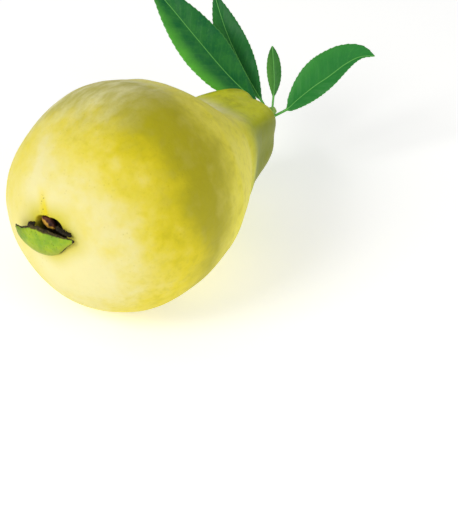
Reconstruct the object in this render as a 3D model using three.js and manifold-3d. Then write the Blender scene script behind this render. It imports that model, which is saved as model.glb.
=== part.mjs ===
// A ripe pear-shaped guava with a short lobed neck, its stem, four leaves and the withered calyx.
// It lies on its side. Millimetres, +Z up, +X from the blossom end to the stem end.
// The origin is on the small flat spot that the fruit rests on, below the centre of its round body.

import * as THREE from "three";
import { mergeVertices } from "three/addons/utils/BufferGeometryUtils.js";
import Module from "manifold-3d";

const wasm = await Module();
wasm.setup();

// Fruit: sizes along and round its own axis, measured from the centre of its round body
const BODY_RADIUS = 39.5;
const BLOSSOM_REACH = 37.5;
const BELLY_REACH = 41.5;
const NECK_REACH = 76.5;
const NECK_START = 33;
const NECK_ROOT_RADIUS = 20.9;
const NECK_END_RADIUS = 15;
const NECK_SQUARENESS = 5.8;
const NECK_FADE = 20;
const SADDLE_BLEND = 3.6;
const NECK_BEND = 2.75;

// Five low ribs that run from the shoulder over the neck, and the faint swells of the skin
const RIB_COUNT = 5;
const RIB_HEIGHT = 0.065;
const RIB_PHASE = -1.83;
const RIB_START = 0.8 * BODY_RADIUS;
const RIB_RISE = 0.7 * BODY_RADIUS;
const SWELL_HEIGHT = 0.35;

// The fuller shoulder between body and neck, on all sides but the notch on top
const SHOULDER = { along: 42, spread: 11, height: 5.2 };
const NOTCH = { angle: 22, from: 22, to: 72 };

// The groove between the two upper lobes at the stem end, in degrees round the axis from the top
const GROOVE = { angle: -2.5, width: 9, from: 58, to: 70, endBreadth: 15, depth: 1.2 };

// Broad shallow flats of the body. Angles and widths are degrees round the axis from the top.
const FLATS = [
  { along: -6, spread: 26, angle: 62, width: 25, depth: 2.4 },
  { along: 20, spread: 19, angle: 8, width: 27, depth: 1.9 },
  { along: 4, spread: 24, angle: -139, width: 33, depth: 1.2 },
];

// How the fruit lies: its stem end leans down, and the skin is pressed flat where it rests
const LEAN = THREE.MathUtils.degToRad(8);
const REST_FLAT_DEPTH = 2.2;

// Blossom end: a lobed cavity in a shallow dimple, with one pinched crease above it
const CAVITY = {
  side: 0,
  up: 0.5,
  squash: 1.25,
  floor: 5.1,
  rim: 7.1,
  depth: 3.6,
  lobes: 5,
  lobe: 0.06,
  turn: 0.7,
};
const DIMPLE = { depth: 0.9, spread: 12 };
const CREASE = { angle: 1.13, fadeIn: 2, from: 6.2, to: 15, halfWidth: 1.2, depth: 0.7 };

// Stem end: a dip round the stem, and the plain hole that the stem stands in
const STEM_EXIT = { side: -1, up: 3.6 };
const STEM_DIP = { depth: 2, spread: 5 };
const STEM_HOLE = { radius: 2.1, floor: 72.6, mouth: 82 };

// Stem: points of its middle line as along, side and up, with its radius at each
const STEM_LINE = [
  { along: 73, side: -1.0, up: 3.6, radius: 1.75 },
  { along: 77, side: -1.0, up: 3.7, radius: 1.6 },
  { along: 81, side: -1.0, up: 3.9, radius: 1.5 },
  { along: 85, side: -1.0, up: 4.1, radius: 1.7 },
  { along: 87.2, side: -1.0, up: 4.2, radius: 1.85 },
  { along: 89.2, side: -1.1, up: 4.3, radius: 1.3 },
];

// Grid of the fruit's skin
const FRUIT_RINGS = 58;
const FRUIT_SIDES = 44;
const PROFILE_STEPS = 1500;
const FINE_ENDS = { blossom: 2.2, stem: 1.6, depth: 9 };

// Calyx: the one green sepal, and the withered ones that lie round the cavity.
// Edges are side and up, seen from the blossom end; lift is how far the edge stands off the skin.
const SEPAL = {
  thickness: 0.7,
  bulge: 0.9,
  steps: 24,
  rows: 6,
  lower: [
    [13.5, -2.7], [12.6, -6.4], [9.9, -8.6], [5.1, -9.1],
    [-0.3, -7.9], [-4.8, -5.2], [-7.9, -1.3], [-10.6, 1.7],
  ],
  upper: [
    [13.1, -1.3], [9.1, -0.2], [6.6, 1.6], [3.7, 2.4],
    [-0.2, 2.6], [-3.8, 2.6], [-7.5, 2.6], [-10.6, 2.6],
  ],
  lowerLift: [2.6, 1.5, 0.85, 0.85, 0.85, 0.9, 1.2, 1.5],
  upperLift: [3.0, 3.2, 3.0, 2.6, 2.4, 2.2, 2.0, 1.7],
};
const WITHERED = [
  {
    name: "calyx_withered_right",
    thickness: 0.6,
    bulge: 0.5,
    steps: 12,
    rows: 3,
    lower: [[-2.9, 3.4], [-5.2, 3.15], [-7.2, 2.95], [-9.0, 2.9]],
    upper: [[-2.8, 4.5], [-5.3, 4.4], [-7.6, 4.1], [-9.3, 3.6]],
    lowerLift: [1.0, 1.2, 1.2, 1.1],
    upperLift: [0.7, 0.7, 0.7, 0.8],
  },
  {
    name: "calyx_withered_left",
    thickness: 0.6,
    bulge: 0.3,
    steps: 10,
    rows: 3,
    lower: [[9.1, -0.6], [7.5, 0.1], [5.8, 0.9]],
    upper: [[9.2, 0.4], [7.7, 1.4], [5.9, 2.2]],
    lowerLift: [1.0, 1.2, 1.0],
    upperLift: [0.8, 0.8, 0.8],
  },
];

// Dried flower disc in the cavity
const SCAR = {
  side: 1.9,
  up: 2.6,
  sunk: 1.9,
  halfLength: 2.8,
  halfWidth: 1.45,
  halfHeight: 1.25,
  lump: 0.14,
  tilt: 0.32,
};

// Leaves: root is a place on the stem line as along, side and up. Tip is in the part's own directions,
// measured from the centre of the round body. The spine is a list of points on the midrib, as shares of
// the leaf's length along it, with millimetres to its left and out of its face. Fullness says how slowly
// each half of the blade widens from the root, and how slowly it narrows to the tip.
const PETIOLE_RADIUS = 0.55;
const BLADE_THICKNESS = 0.6;
const MIDRIB_THICKNESS = 1.3;
const MIDRIB_HALF_WIDTH = 0.7;
const TIP_HALF_WIDTH = 0.3;
const ROWS_PER_TOOTH = 3;
const LEAVES = [
  {
    name: "leaf_broad",
    root: [84.5, 0.8, 5.5],
    tip: [77.1, 50.9, 32.7],
    facing: [-0.6, -0.47, 0.65],
    petiole: 3.5,
    left: 9.1,
    right: 7.9,
    leftFullness: [0.88, 1.1],
    rightFullness: [1.0, 1.1],
    spine: [[0.28, 1.6, 2.0], [0.56, 1.3, 3.0], [0.81, 0.4, 1.8]],
    fold: 0.22,
    wave: 0.5,
    waves: 3.2,
    teeth: 14,
    tooth: 0.28,
  },
  {
    name: "leaf_back",
    root: [87.2, 1.3, 4.6],
    tip: [97.6, 35.5, 25.7],
    facing: [-0.7, -0.42, 0.58],
    petiole: 3.5,
    left: 5.0,
    right: 6.1,
    leftFullness: [1.0, 1.1],
    rightFullness: [1.0, 1.1],
    spine: [[0.33, 1.6, 1.2], [0.66, 1.8, 1.6]],
    fold: 0.3,
    wave: 0.4,
    waves: 2.6,
    teeth: 12,
    tooth: 0.25,
  },
  {
    name: "leaf_small",
    root: [87.9, -0.9, 6.7],
    tip: [100.5, 9.2, 10.5],
    facing: [-0.63, -0.52, 0.58],
    petiole: 3.1,
    left: 2.7,
    right: 2.7,
    leftFullness: [0.9, 0.85],
    rightFullness: [0.9, 0.85],
    spine: [[0.33, -0.6, 0.3], [0.66, -0.4, 0.7]],
    fold: 0.15,
    wave: 0.15,
    waves: 1.5,
    teeth: 8,
    tooth: 0.15,
  },
  {
    name: "leaf_right",
    root: [87.0, -3.6, 3.7],
    tip: [116.1, -26.5, 12.7],
    facing: [-0.57, -0.25, 0.79],
    petiole: 4.2,
    left: 8.5,
    right: 4.9,
    leftFullness: [1.0, 0.9],
    rightFullness: [0.8, 1.6],
    spine: [
      [0.12, -0.3, 0.2], [0.22, 0.5, 0.8], [0.41, 1.4, 1.6],
      [0.56, 1.6, 2.0], [0.75, 2.6, 1.6], [0.89, 2.3, 0.9],
    ],
    fold: 0.3,
    wave: 0.4,
    waves: 2.4,
    teeth: 12,
    tooth: 0.25,
  },
];

// The body's centre stands this high above the flat spot
const BODY_HEIGHT =
  Math.hypot(BELLY_REACH * Math.sin(LEAN), BODY_RADIUS * Math.cos(LEAN)) - REST_FLAT_DEPTH;

const AXIS = new THREE.Vector3(Math.cos(LEAN), 0, -Math.sin(LEAN));
const UPWARD = new THREE.Vector3(Math.sin(LEAN), 0, Math.cos(LEAN));
const SIDEWAYS = new THREE.Vector3(0, 1, 0);
const BODY_CENTRE = new THREE.Vector3(0, 0, BODY_HEIGHT);

const { euclideanModulo, lerp, radToDeg, smoothstep } = THREE.MathUtils;

// A point of the part from its place along the fruit's axis, to its side and above it
function onFruit(along, side, up) {
  return BODY_CENTRE.clone()
    .addScaledVector(AXIS, along)
    .addScaledVector(SIDEWAYS, side)
    .addScaledVector(UPWARD, up);
}

// Half-breadth of the fruit at a place along its axis: a round body blended into a blunt neck
function profileRadius(along) {
  const reach = along < 0 ? BLOSSOM_REACH : BELLY_REACH;
  const body = BODY_RADIUS * Math.sqrt(Math.max(0, 1 - (along / reach) ** 2));
  if (along <= 0) return body;
  const share = Math.min(Math.max((along - NECK_START) / (NECK_REACH - NECK_START), 0), 1);
  const taper = lerp(NECK_ROOT_RADIUS, NECK_END_RADIUS, share);
  const blunt = Math.max(0, 1 - share ** NECK_SQUARENESS) ** (1 / NECK_SQUARENESS);
  const neck = taper * blunt * Math.min(along / NECK_FADE, 1);
  return (body ** SADDLE_BLEND + neck ** SADDLE_BLEND) ** (1 / SADDLE_BLEND);
}

// Places of the skin's rings, evenly spaced along the profile and closer at both ends
function ringPlaces() {
  const line = [];
  for (let i = 0; i <= PROFILE_STEPS; i++) {
    const share = i / PROFILE_STEPS;
    line.push(-BLOSSOM_REACH * Math.cos((share * Math.PI) / 2));
  }
  for (let i = PROFILE_STEPS - 1; i >= 0; i--) {
    const share = i / PROFILE_STEPS;
    line.push(NECK_REACH * (1 - share ** NECK_SQUARENESS));
  }
  const travelled = [0];
  for (let i = 1; i < line.length; i++) {
    const step = Math.hypot(line[i] - line[i - 1], profileRadius(line[i]) - profileRadius(line[i - 1]));
    const atBlossom = smoothstep(-line[i], BLOSSOM_REACH - FINE_ENDS.depth, BLOSSOM_REACH);
    const atStem = smoothstep(line[i], NECK_REACH - FINE_ENDS.depth, NECK_REACH);
    const weight = 1 + FINE_ENDS.blossom * atBlossom + FINE_ENDS.stem * atStem;
    travelled.push(travelled[i - 1] + step * weight);
  }
  const total = travelled[travelled.length - 1];
  const places = [];
  let next = 0;
  for (let ring = 1; ring < FRUIT_RINGS; ring++) {
    while (travelled[next] < (total * ring) / FRUIT_RINGS) next++;
    places.push(line[next]);
  }
  return places;
}

// Faint uneven swells of the skin
function swell(along, angle) {
  const slow = Math.sin(2 * angle + 0.05 * along + 0.6) + 0.7 * Math.sin(3 * angle - 0.08 * along + 2.1);
  const quick = 0.5 * Math.sin(5 * angle + 0.11 * along + 4.0) * Math.sin(0.13 * along + 1.0);
  return SWELL_HEIGHT * (slow + quick);
}

// Degrees from one direction round the axis to another, between minus and plus half a turn
function turnedFrom(start, angle) {
  return euclideanModulo(radToDeg(angle) - start + 180, 360) - 180;
}

// How far the skin stands out at the shoulder
function shoulder(along, angle) {
  const roundNotch = smoothstep(Math.abs(turnedFrom(NOTCH.angle, angle)), NOTCH.from, NOTCH.to);
  return SHOULDER.height * roundNotch * Math.exp(-(((along - SHOULDER.along) / SHOULDER.spread) ** 2));
}

// How deep the groove is. It fades where the fruit closes.
function groove(along, angle, breadth) {
  const lengthwise = smoothstep(along, GROOVE.from, GROOVE.to) * smoothstep(breadth, 0, GROOVE.endBreadth);
  return GROOVE.depth * lengthwise * Math.exp(-((turnedFrom(GROOVE.angle, angle) / GROOVE.width) ** 2));
}

// How far the flats lower the skin
function flattened(along, angle) {
  let depth = 0;
  for (const flat of FLATS) {
    const lengthwise = Math.exp(-(((along - flat.along) / flat.spread) ** 2));
    depth += flat.depth * lengthwise * Math.exp(-((turnedFrom(flat.angle, angle) / flat.width) ** 2));
  }
  return depth;
}

// How deep the skin is drawn in at the blossom end: dimple and crease, and the cavity itself if wanted
function blossomDip(side, up, withCavity = true) {
  const fromSide = side - CAVITY.side;
  const fromUp = up - CAVITY.up;
  const distance = Math.hypot(fromSide, fromUp * CAVITY.squash);
  const turn = Math.atan2(fromUp * CAVITY.squash, fromSide) - CAVITY.turn;
  const rim = CAVITY.rim * (1 + CAVITY.lobe * Math.cos(CAVITY.lobes * turn));
  const dimple = DIMPLE.depth * Math.exp(-((distance / DIMPLE.spread) ** 2));
  const along = fromSide * Math.cos(CREASE.angle) + fromUp * Math.sin(CREASE.angle);
  const across = fromUp * Math.cos(CREASE.angle) - fromSide * Math.sin(CREASE.angle);
  const rise = smoothstep(along, CREASE.from - CREASE.fadeIn, CREASE.from);
  const fade = rise * (1 - smoothstep(along, CREASE.from, CREASE.to));
  const crease = CREASE.depth * fade * Math.exp(-((across / CREASE.halfWidth) ** 2));
  const bowl = CAVITY.depth * (1 - smoothstep(distance, CAVITY.floor, rim));
  return dimple + crease + (withCavity ? bowl : 0);
}

// How deep the skin is drawn in round the stem
function stemDip(side, up) {
  const distance = Math.hypot(side - STEM_EXIT.side, up - STEM_EXIT.up);
  return STEM_DIP.depth * Math.exp(-((distance / STEM_DIP.spread) ** 2));
}

// A point on the skin, at a place along the axis and an angle round it that starts at the top
function skinPoint(along, angle) {
  const ramp = smoothstep(along, RIB_START, RIB_START + RIB_RISE);
  const rib = 1 + RIB_HEIGHT * ramp * Math.cos(RIB_COUNT * angle + RIB_PHASE);
  const plain = profileRadius(along);
  const unevenness = (swell(along, angle) - flattened(along, angle)) * Math.min(plain / BODY_RADIUS, 1);
  const radius = plain * rib + unevenness + shoulder(along, angle) - groove(along, angle, plain);
  const side = radius * Math.sin(angle);
  const above = radius * Math.cos(angle);
  const up = above + NECK_BEND * (Math.max(along, 0) / NECK_REACH) ** 2;
  const drawnIn = along < 0 ? blossomDip(side, above) : -stemDip(side, up);
  return onFruit(along + drawnIn, side, up);
}

// Geometry of one closed body from its vertices and triangles
function bodyFrom(points, triangles) {
  const geometry = new THREE.BufferGeometry();
  const positions = points.flatMap((point) => [point.x, point.y, point.z]);
  geometry.setAttribute("position", new THREE.Float32BufferAttribute(positions, 3));
  geometry.setIndex(triangles);
  return geometry;
}

// A closed body from rings of points, shut by a single point before the first and after the last
function ringedBody(first, rings, last) {
  const sides = rings[0].length;
  const points = [first, ...rings.flat(), last];
  const lastIndex = points.length - 1;
  const at = (ring, side) => 1 + ring * sides + (side % sides);
  const triangles = [];
  for (let side = 0; side < sides; side++) {
    triangles.push(0, at(0, side), at(0, side + 1));
    for (let ring = 0; ring + 1 < rings.length; ring++) {
      triangles.push(at(ring, side), at(ring + 1, side + 1), at(ring, side + 1));
      triangles.push(at(ring, side), at(ring + 1, side), at(ring + 1, side + 1));
    }
    triangles.push(lastIndex, at(rings.length - 1, side + 1), at(rings.length - 1, side));
  }
  return bodyFrom(points, triangles);
}

// A thin closed body between two grids of points of the same size, with both faces split alike
function slab(top, bottom) {
  const rows = top.length;
  const columns = top[0].length;
  const points = [...top.flat(), ...bottom.flat()];
  const upper = (row, column) => row * columns + column;
  const lower = (row, column) => rows * columns + row * columns + column;
  const triangles = [];
  for (let row = 0; row + 1 < rows; row++) {
    for (let column = 0; column + 1 < columns; column++) {
      triangles.push(upper(row, column), upper(row + 1, column), upper(row + 1, column + 1));
      triangles.push(upper(row, column), upper(row + 1, column + 1), upper(row, column + 1));
      triangles.push(lower(row, column), lower(row + 1, column + 1), lower(row + 1, column));
      triangles.push(lower(row, column), lower(row, column + 1), lower(row + 1, column + 1));
    }
  }
  const wall = (a, b) => {
    triangles.push(upper(...a), upper(...b), lower(...b));
    triangles.push(upper(...a), lower(...b), lower(...a));
  };
  for (let row = 0; row + 1 < rows; row++) {
    wall([row + 1, 0], [row, 0]);
    wall([row, columns - 1], [row + 1, columns - 1]);
  }
  for (let column = 0; column + 1 < columns; column++) {
    wall([0, column], [0, column + 1]);
    wall([rows - 1, column + 1], [rows - 1, column]);
  }
  return bodyFrom(points, triangles);
}

// Solids for joining and cutting
function toSolid(geometry) {
  const bare = geometry.clone();
  bare.deleteAttribute("normal");
  bare.deleteAttribute("uv");
  const merged = mergeVertices(bare);
  return new wasm.Manifold(
    new wasm.Mesh({
      numProp: 3,
      vertProperties: new Float32Array(merged.attributes.position.array),
      triVerts: new Uint32Array(merged.index.array),
    }),
  );
}

function fromSolid(solid) {
  const mesh = solid.getMesh();
  const geometry = new THREE.BufferGeometry();
  geometry.setAttribute("position", new THREE.BufferAttribute(new Float32Array(mesh.vertProperties), 3));
  geometry.setIndex(new THREE.BufferAttribute(new Uint32Array(mesh.triVerts), 1));
  return geometry;
}

// Turns a geometry so that its Y axis runs along the fruit's axis, and moves it to a place there
function alongFruit(geometry, along, side, up) {
  const turn = new THREE.Quaternion().setFromUnitVectors(new THREE.Vector3(0, 1, 0), AXIS);
  const place = onFruit(along, side, up);
  return geometry.applyQuaternion(turn).translate(place.x, place.y, place.z);
}

// The whole fruit: skin, neck, cavity and crease, flat below, with the hole for the stem
function fruitGeometry() {
  const rings = ringPlaces().map((along) =>
    Array.from({ length: FRUIT_SIDES }, (_, side) => skinPoint(along, (2 * Math.PI * side) / FRUIT_SIDES)),
  );
  const skin = ringedBody(skinPoint(-BLOSSOM_REACH, 0), rings, skinPoint(NECK_REACH, 0));
  const floorSize = 4 * NECK_REACH;
  const floor = new THREE.BoxGeometry(floorSize, floorSize, BODY_RADIUS).translate(0, 0, -BODY_RADIUS / 2);
  const depth = STEM_HOLE.mouth - STEM_HOLE.floor;
  const hole = alongFruit(
    new THREE.CylinderGeometry(STEM_HOLE.radius, STEM_HOLE.radius, depth, 12),
    STEM_HOLE.floor + depth / 2,
    STEM_LINE[0].side,
    STEM_LINE[0].up,
  );
  return fromSolid(toSolid(skin).subtract(toSolid(floor)).subtract(toSolid(hole)));
}

// The stem: round rings across a smooth line, thicker at the node where the leaves leave it
function stemGeometry() {
  const sides = 12;
  const steps = 14;
  const line = new THREE.CatmullRomCurve3(STEM_LINE.map((stop) => onFruit(stop.along, stop.side, stop.up)));
  const rings = [];
  for (let step = 0; step <= steps; step++) {
    const share = step / steps;
    const centre = line.getPoint(share);
    const forward = line.getTangent(share);
    const across = new THREE.Vector3().crossVectors(forward, UPWARD).normalize();
    const over = new THREE.Vector3().crossVectors(across, forward);
    const radius = valueAlong(STEM_LINE.map((stop) => stop.radius), share);
    rings.push(
      Array.from({ length: sides }, (_, side) => {
        const angle = (2 * Math.PI * side) / sides;
        return centre.clone()
          .addScaledVector(over, radius * Math.cos(angle))
          .addScaledVector(across, -radius * Math.sin(angle));
      }),
    );
  }
  return ringedBody(line.getPoint(0), rings, line.getPoint(1));
}

// A value read off a list of stops at a share of the way along it
function valueAlong(stops, share) {
  const place = share * (stops.length - 1);
  const index = Math.min(Math.floor(place), stops.length - 2);
  return lerp(stops[index], stops[index + 1], place - index);
}

// Place along the axis of the bare skin at the blossom end, without its cavity
function blossomSkin(side, up) {
  const share = Math.min(Math.hypot(side, up) / BODY_RADIUS, 1);
  return -BLOSSOM_REACH * Math.sqrt(1 - share ** 2) + blossomDip(side, up, false);
}

// A sepal: a curved slab between its two edges, which stands off the skin and bulges outwards
function sepalGeometry(sepal) {
  const lower = new THREE.SplineCurve(sepal.lower.map(([side, up]) => new THREE.Vector2(side, up)));
  const upper = new THREE.SplineCurve(sepal.upper.map(([side, up]) => new THREE.Vector2(side, up)));
  const faces = [-0.5, 0.5].map((half) => {
    const grid = [];
    for (let step = 0; step <= sepal.steps; step++) {
      const share = step / sepal.steps;
      const from = lower.getPoint(share);
      const to = upper.getPoint(share);
      const row = [];
      for (let rung = 0; rung <= sepal.rows; rung++) {
        const rise = rung / sepal.rows;
        const side = lerp(from.x, to.x, rise);
        const up = lerp(from.y, to.y, rise);
        const edge = lerp(valueAlong(sepal.lowerLift, share), valueAlong(sepal.upperLift, share), rise);
        const crown = sepal.bulge * Math.sin(Math.PI * rise) * Math.sin(Math.PI * share);
        row.push(onFruit(blossomSkin(side, up) - edge - crown - half * sepal.thickness, side, up));
      }
      grid.push(row);
    }
    return grid;
  });
  return slab(faces[1], faces[0]);
}

// The dried flower disc: a lumpy bean that lies across the cavity's floor
function scarGeometry() {
  const rounds = 10;
  const sides = 14;
  const point = (round, side) => {
    const slope = (Math.PI * round) / rounds;
    const turn = (2 * Math.PI * side) / sides;
    const lump = 1 + SCAR.lump * Math.sin(3 * turn + 2 * slope) * Math.sin(slope);
    const length = -SCAR.halfLength * Math.cos(slope);
    const width = SCAR.halfWidth * Math.sin(slope) * Math.cos(turn) * lump;
    const height = SCAR.halfHeight * Math.sin(slope) * Math.sin(turn) * lump;
    const side3 = SCAR.side + length * Math.cos(SCAR.tilt) - width * Math.sin(SCAR.tilt);
    const up3 = SCAR.up + length * Math.sin(SCAR.tilt) + width * Math.cos(SCAR.tilt);
    return onFruit(blossomSkin(SCAR.side, SCAR.up) + SCAR.sunk - height, side3, up3);
  };
  const rings = [];
  for (let round = 1; round < rounds; round++) {
    rings.push(Array.from({ length: sides }, (_, side) => point(round, side)));
  }
  return ringedBody(point(0, 0), rings, point(rounds, 0));
}

// Half-width of a blade at a share of its length, as a share of its widest half-width
function bladeShare(share, [towardsRoot, towardsTip]) {
  const widest = towardsRoot / (towardsRoot + towardsTip);
  const form = (place) => place ** towardsRoot * (1 - place) ** towardsTip;
  return form(share) / form(widest);
}

// A leaf in its own frame: root at the origin, tip on +X, left edge towards +Y, upper face towards +Z.
// Petiole, midrib and blade are one body. The margin is toothed, and the blade is folded and waved.
function leafGeometry(leaf, length) {
  const spine = new THREE.CatmullRomCurve3([
    new THREE.Vector3(0, 0, 0),
    ...leaf.spine.map(([share, left, out]) => new THREE.Vector3(share * length, left, out)),
    new THREE.Vector3(length, 0, 0),
  ]);
  const petioleShare = leaf.petiole / length;
  const petioleRows = 4;
  const bladeRows = leaf.teeth * ROWS_PER_TOOTH;
  const upperFace = [];
  const lowerFace = [];
  for (let row = 0; row <= petioleRows + bladeRows; row++) {
    const inBlade = Math.max(0, row - petioleRows) / bladeRows;
    const share = row < petioleRows ? (petioleShare * row) / petioleRows : lerp(petioleShare, 1, inBlade);
    const centre = spine.getPointAt(share);
    const forward = spine.getTangentAt(share);
    const left = new THREE.Vector3(-forward.y, forward.x, 0).normalize();
    const out = new THREE.Vector3().crossVectors(forward, left);
    const toothPlace = ((row - petioleRows) % ROWS_PER_TOOTH) / ROWS_PER_TOOTH;
    const toothed = inBlade > 0 && inBlade < 1 ? leaf.tooth * toothPlace : 0;
    const slim = Math.max(PETIOLE_RADIUS * (1 - inBlade), TIP_HALF_WIDTH);
    const stalk = lerp(PETIOLE_RADIUS, BLADE_THICKNESS / 2, smoothstep(inBlade, 0, 0.12));
    const midrib = lerp(MIDRIB_THICKNESS, BLADE_THICKNESS, inBlade);
    const rib = lerp(2 * PETIOLE_RADIUS, midrib, smoothstep(inBlade, 0, 0.12));
    const upperRow = [];
    const lowerRow = [];
    for (const column of [-3, -2, -1, 0, 1, 2, 3]) {
      const widest = column > 0 ? leaf.left : leaf.right;
      const fullness = column > 0 ? leaf.leftFullness : leaf.rightFullness;
      const half = Math.hypot(slim, widest * bladeShare(inBlade, fullness)) + toothed;
      const ribHalf = Math.min(MIDRIB_HALF_WIDTH, 0.45 * half);
      const reach = [0, ribHalf, lerp(ribHalf, half, 0.5), half - (Math.abs(column) < 3 ? toothed : 0)];
      const offset = Math.sign(column) * reach[Math.abs(column)];
      const spread = Math.abs(offset) / widest;
      const phase = 2 * Math.PI * leaf.waves * inBlade + Math.sign(column);
      const ripple = leaf.wave * Math.sin(phase) * spread ** 2;
      const raised = leaf.fold * Math.abs(offset) + ripple;
      const below = column === 0 ? rib - stalk : stalk;
      const place = centre.clone().addScaledVector(left, offset);
      upperRow.push(place.clone().addScaledVector(out, raised + stalk));
      lowerRow.push(place.clone().addScaledVector(out, raised - below));
    }
    upperFace.push(upperRow);
    lowerFace.push(lowerRow);
  }
  return slab(upperFace, lowerFace);
}

// Materials
const finishes = {
  skin: { color: "#d9d25a", roughness: 0.45, metalness: 0 },
  sepal: { color: "#8cad3b", roughness: 0.6, metalness: 0 },
  withered: { color: "#4e471c", roughness: 0.8, metalness: 0 },
  scar: { color: "#95712a", roughness: 0.75, metalness: 0 },
  stem: { color: "#8ab34c", roughness: 0.6, metalness: 0 },
  leaf: { color: "#256b33", roughness: 0.35, metalness: 0 },
};

function namedMesh(name, geometry, finish) {
  const mesh = new THREE.Mesh(geometry, new THREE.MeshStandardMaterial(finishes[finish]));
  mesh.name = name;
  return mesh;
}

// A leaf hung in its place: its root beside the stem, its tip where it reaches, its face turned outwards
function placedLeaf(leaf) {
  const root = onFruit(...leaf.root);
  const tip = BODY_CENTRE.clone().add(new THREE.Vector3(...leaf.tip));
  const length = root.distanceTo(tip);
  const forward = tip.clone().sub(root).normalize();
  const left = new THREE.Vector3(...leaf.facing).cross(forward).normalize();
  const out = new THREE.Vector3().crossVectors(forward, left);
  const mesh = namedMesh(leaf.name, leafGeometry(leaf, length), "leaf");
  mesh.position.copy(root);
  mesh.quaternion.setFromRotationMatrix(new THREE.Matrix4().makeBasis(forward, left, out));
  return mesh;
}

const guava = new THREE.Group();
guava.name = "guava";
guava.add(namedMesh("fruit", fruitGeometry(), "skin"));

const calyx = new THREE.Group();
calyx.add(namedMesh("calyx_sepal", sepalGeometry(SEPAL), "sepal"));
for (const sepal of WITHERED) calyx.add(namedMesh(sepal.name, sepalGeometry(sepal), "withered"));
calyx.add(namedMesh("flower_scar", scarGeometry(), "scar"));
guava.add(calyx);

const sprig = new THREE.Group();
sprig.add(namedMesh("stem", stemGeometry(), "stem"));
for (const leaf of LEAVES) sprig.add(placedLeaf(leaf));
guava.add(sprig);

export default guava;
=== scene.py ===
"""A ripe pear-shaped guava with its leafy stem and withered calyx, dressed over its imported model.

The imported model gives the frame, in metres. Every form below holds its own sizes in millimetres.
"""
import logging
import math
from collections.abc import Callable, Sequence
from dataclasses import dataclass
from enum import Enum
from typing import Any, Union

import bpy
from mathutils import Matrix, Vector, noise


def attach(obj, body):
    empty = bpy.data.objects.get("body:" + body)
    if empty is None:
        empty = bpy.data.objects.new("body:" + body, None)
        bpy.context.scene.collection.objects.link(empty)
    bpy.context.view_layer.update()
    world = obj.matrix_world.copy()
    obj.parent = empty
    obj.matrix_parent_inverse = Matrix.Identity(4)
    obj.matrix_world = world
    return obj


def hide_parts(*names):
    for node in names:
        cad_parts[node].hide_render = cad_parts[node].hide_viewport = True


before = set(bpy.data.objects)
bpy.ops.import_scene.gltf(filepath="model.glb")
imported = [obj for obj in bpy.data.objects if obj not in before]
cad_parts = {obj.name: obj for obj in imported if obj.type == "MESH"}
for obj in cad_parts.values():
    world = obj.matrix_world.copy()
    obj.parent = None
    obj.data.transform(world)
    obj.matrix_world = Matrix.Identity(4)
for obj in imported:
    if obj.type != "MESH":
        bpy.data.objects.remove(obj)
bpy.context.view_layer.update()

MM = 0.001
LOG = logging.getLogger("guava")

Colour = tuple[float, float, float]
Number = Union["Wire", float]
Span = tuple[float, float]
Spot = tuple[float, float, float]
HALVES: Span = (0.35, 0.65)


class Slot(Enum):
    """The record's material slots."""

    SKIN = "skin"
    SEPAL = "sepal"
    WITHERED = "withered_calyx"
    SCAR = "flower_scar"
    STEM = "stem"
    LEAF = "leaf"


class Face(Enum):
    """The two faces of a thin blade, with the sign of the way each looks."""

    UPPER = 1.0
    LOWER = -1.0


def mix(low: float, high: float, share: float) -> float:
    """Returns the value at a share of the way from low to high."""
    return low + (high - low) * share


def smooth(value: float, low: float, high: float) -> float:
    """Returns 0 below low and 1 above high, with a soft step between them."""
    share = min(max((value - low) / (high - low), 0.0), 1.0)
    return share * share * (3.0 - 2.0 * share)


def bell(value: float, spread: float) -> float:
    """Returns 1 at zero, and falls softly to nothing a few spreads away."""
    return math.exp(-((value / spread) ** 2))


def turned(angle: float, start: float) -> float:
    """Returns the turn from one angle to another, between minus and plus half a turn."""
    return (angle - start + math.pi) % (2 * math.pi) - math.pi


def value_along(stops: Sequence[float], share: float) -> float:
    """Returns the value at a share of the way along evenly spaced stops.

    Args:
        stops: The values at the stops.
        share: How far along, from 0 to 1.

    Returns:
        The value there.
    """
    place = share * (len(stops) - 1)
    index = min(int(place), len(stops) - 2)
    return mix(stops[index], stops[index + 1], place - index)


def spline(points: Sequence[Vector], share: float) -> Vector:
    """Returns a point on a smooth line through the given points.

    Args:
        points: The points that the line passes through.
        share: How far along the line, from 0 to 1.

    Returns:
        The point there.
    """
    ends = [2 * points[0] - points[1], *points, 2 * points[-1] - points[-2]]
    place = share * (len(points) - 1)
    index = min(int(place), len(points) - 2)
    t = place - index
    a, b, c, d = ends[index:index + 4]
    return 0.5 * (2 * b + (c - a) * t + (2 * a - 5 * b + 4 * c - d) * t**2 + (3 * b - a - 3 * c + d) * t**3)


def even_line(points: Sequence[Vector], shares: Sequence[float], samples: int = 400) -> list[Vector]:
    """Returns points of a smooth line at given shares of its length.

    Args:
        points: The points that the line passes through.
        shares: Shares of the line's length, rising from 0 to 1.
        samples: How finely the line is measured.

    Returns:
        One point for each share.
    """
    line = [spline(points, i / samples) for i in range(samples + 1)]
    travelled = [0.0]
    for last, here in zip(line, line[1:]):
        travelled.append(travelled[-1] + (here - last).length)
    found: list[Vector] = []
    index = 0
    for share in shares:
        goal = share * travelled[-1]
        while index < samples - 1 and travelled[index + 1] < goal:
            index += 1
        step = travelled[index + 1] - travelled[index]
        part = min(max((goal - travelled[index]) / step, 0.0), 1.0)
        found.append(line[index].lerp(line[index + 1], part))
    return found


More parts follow.
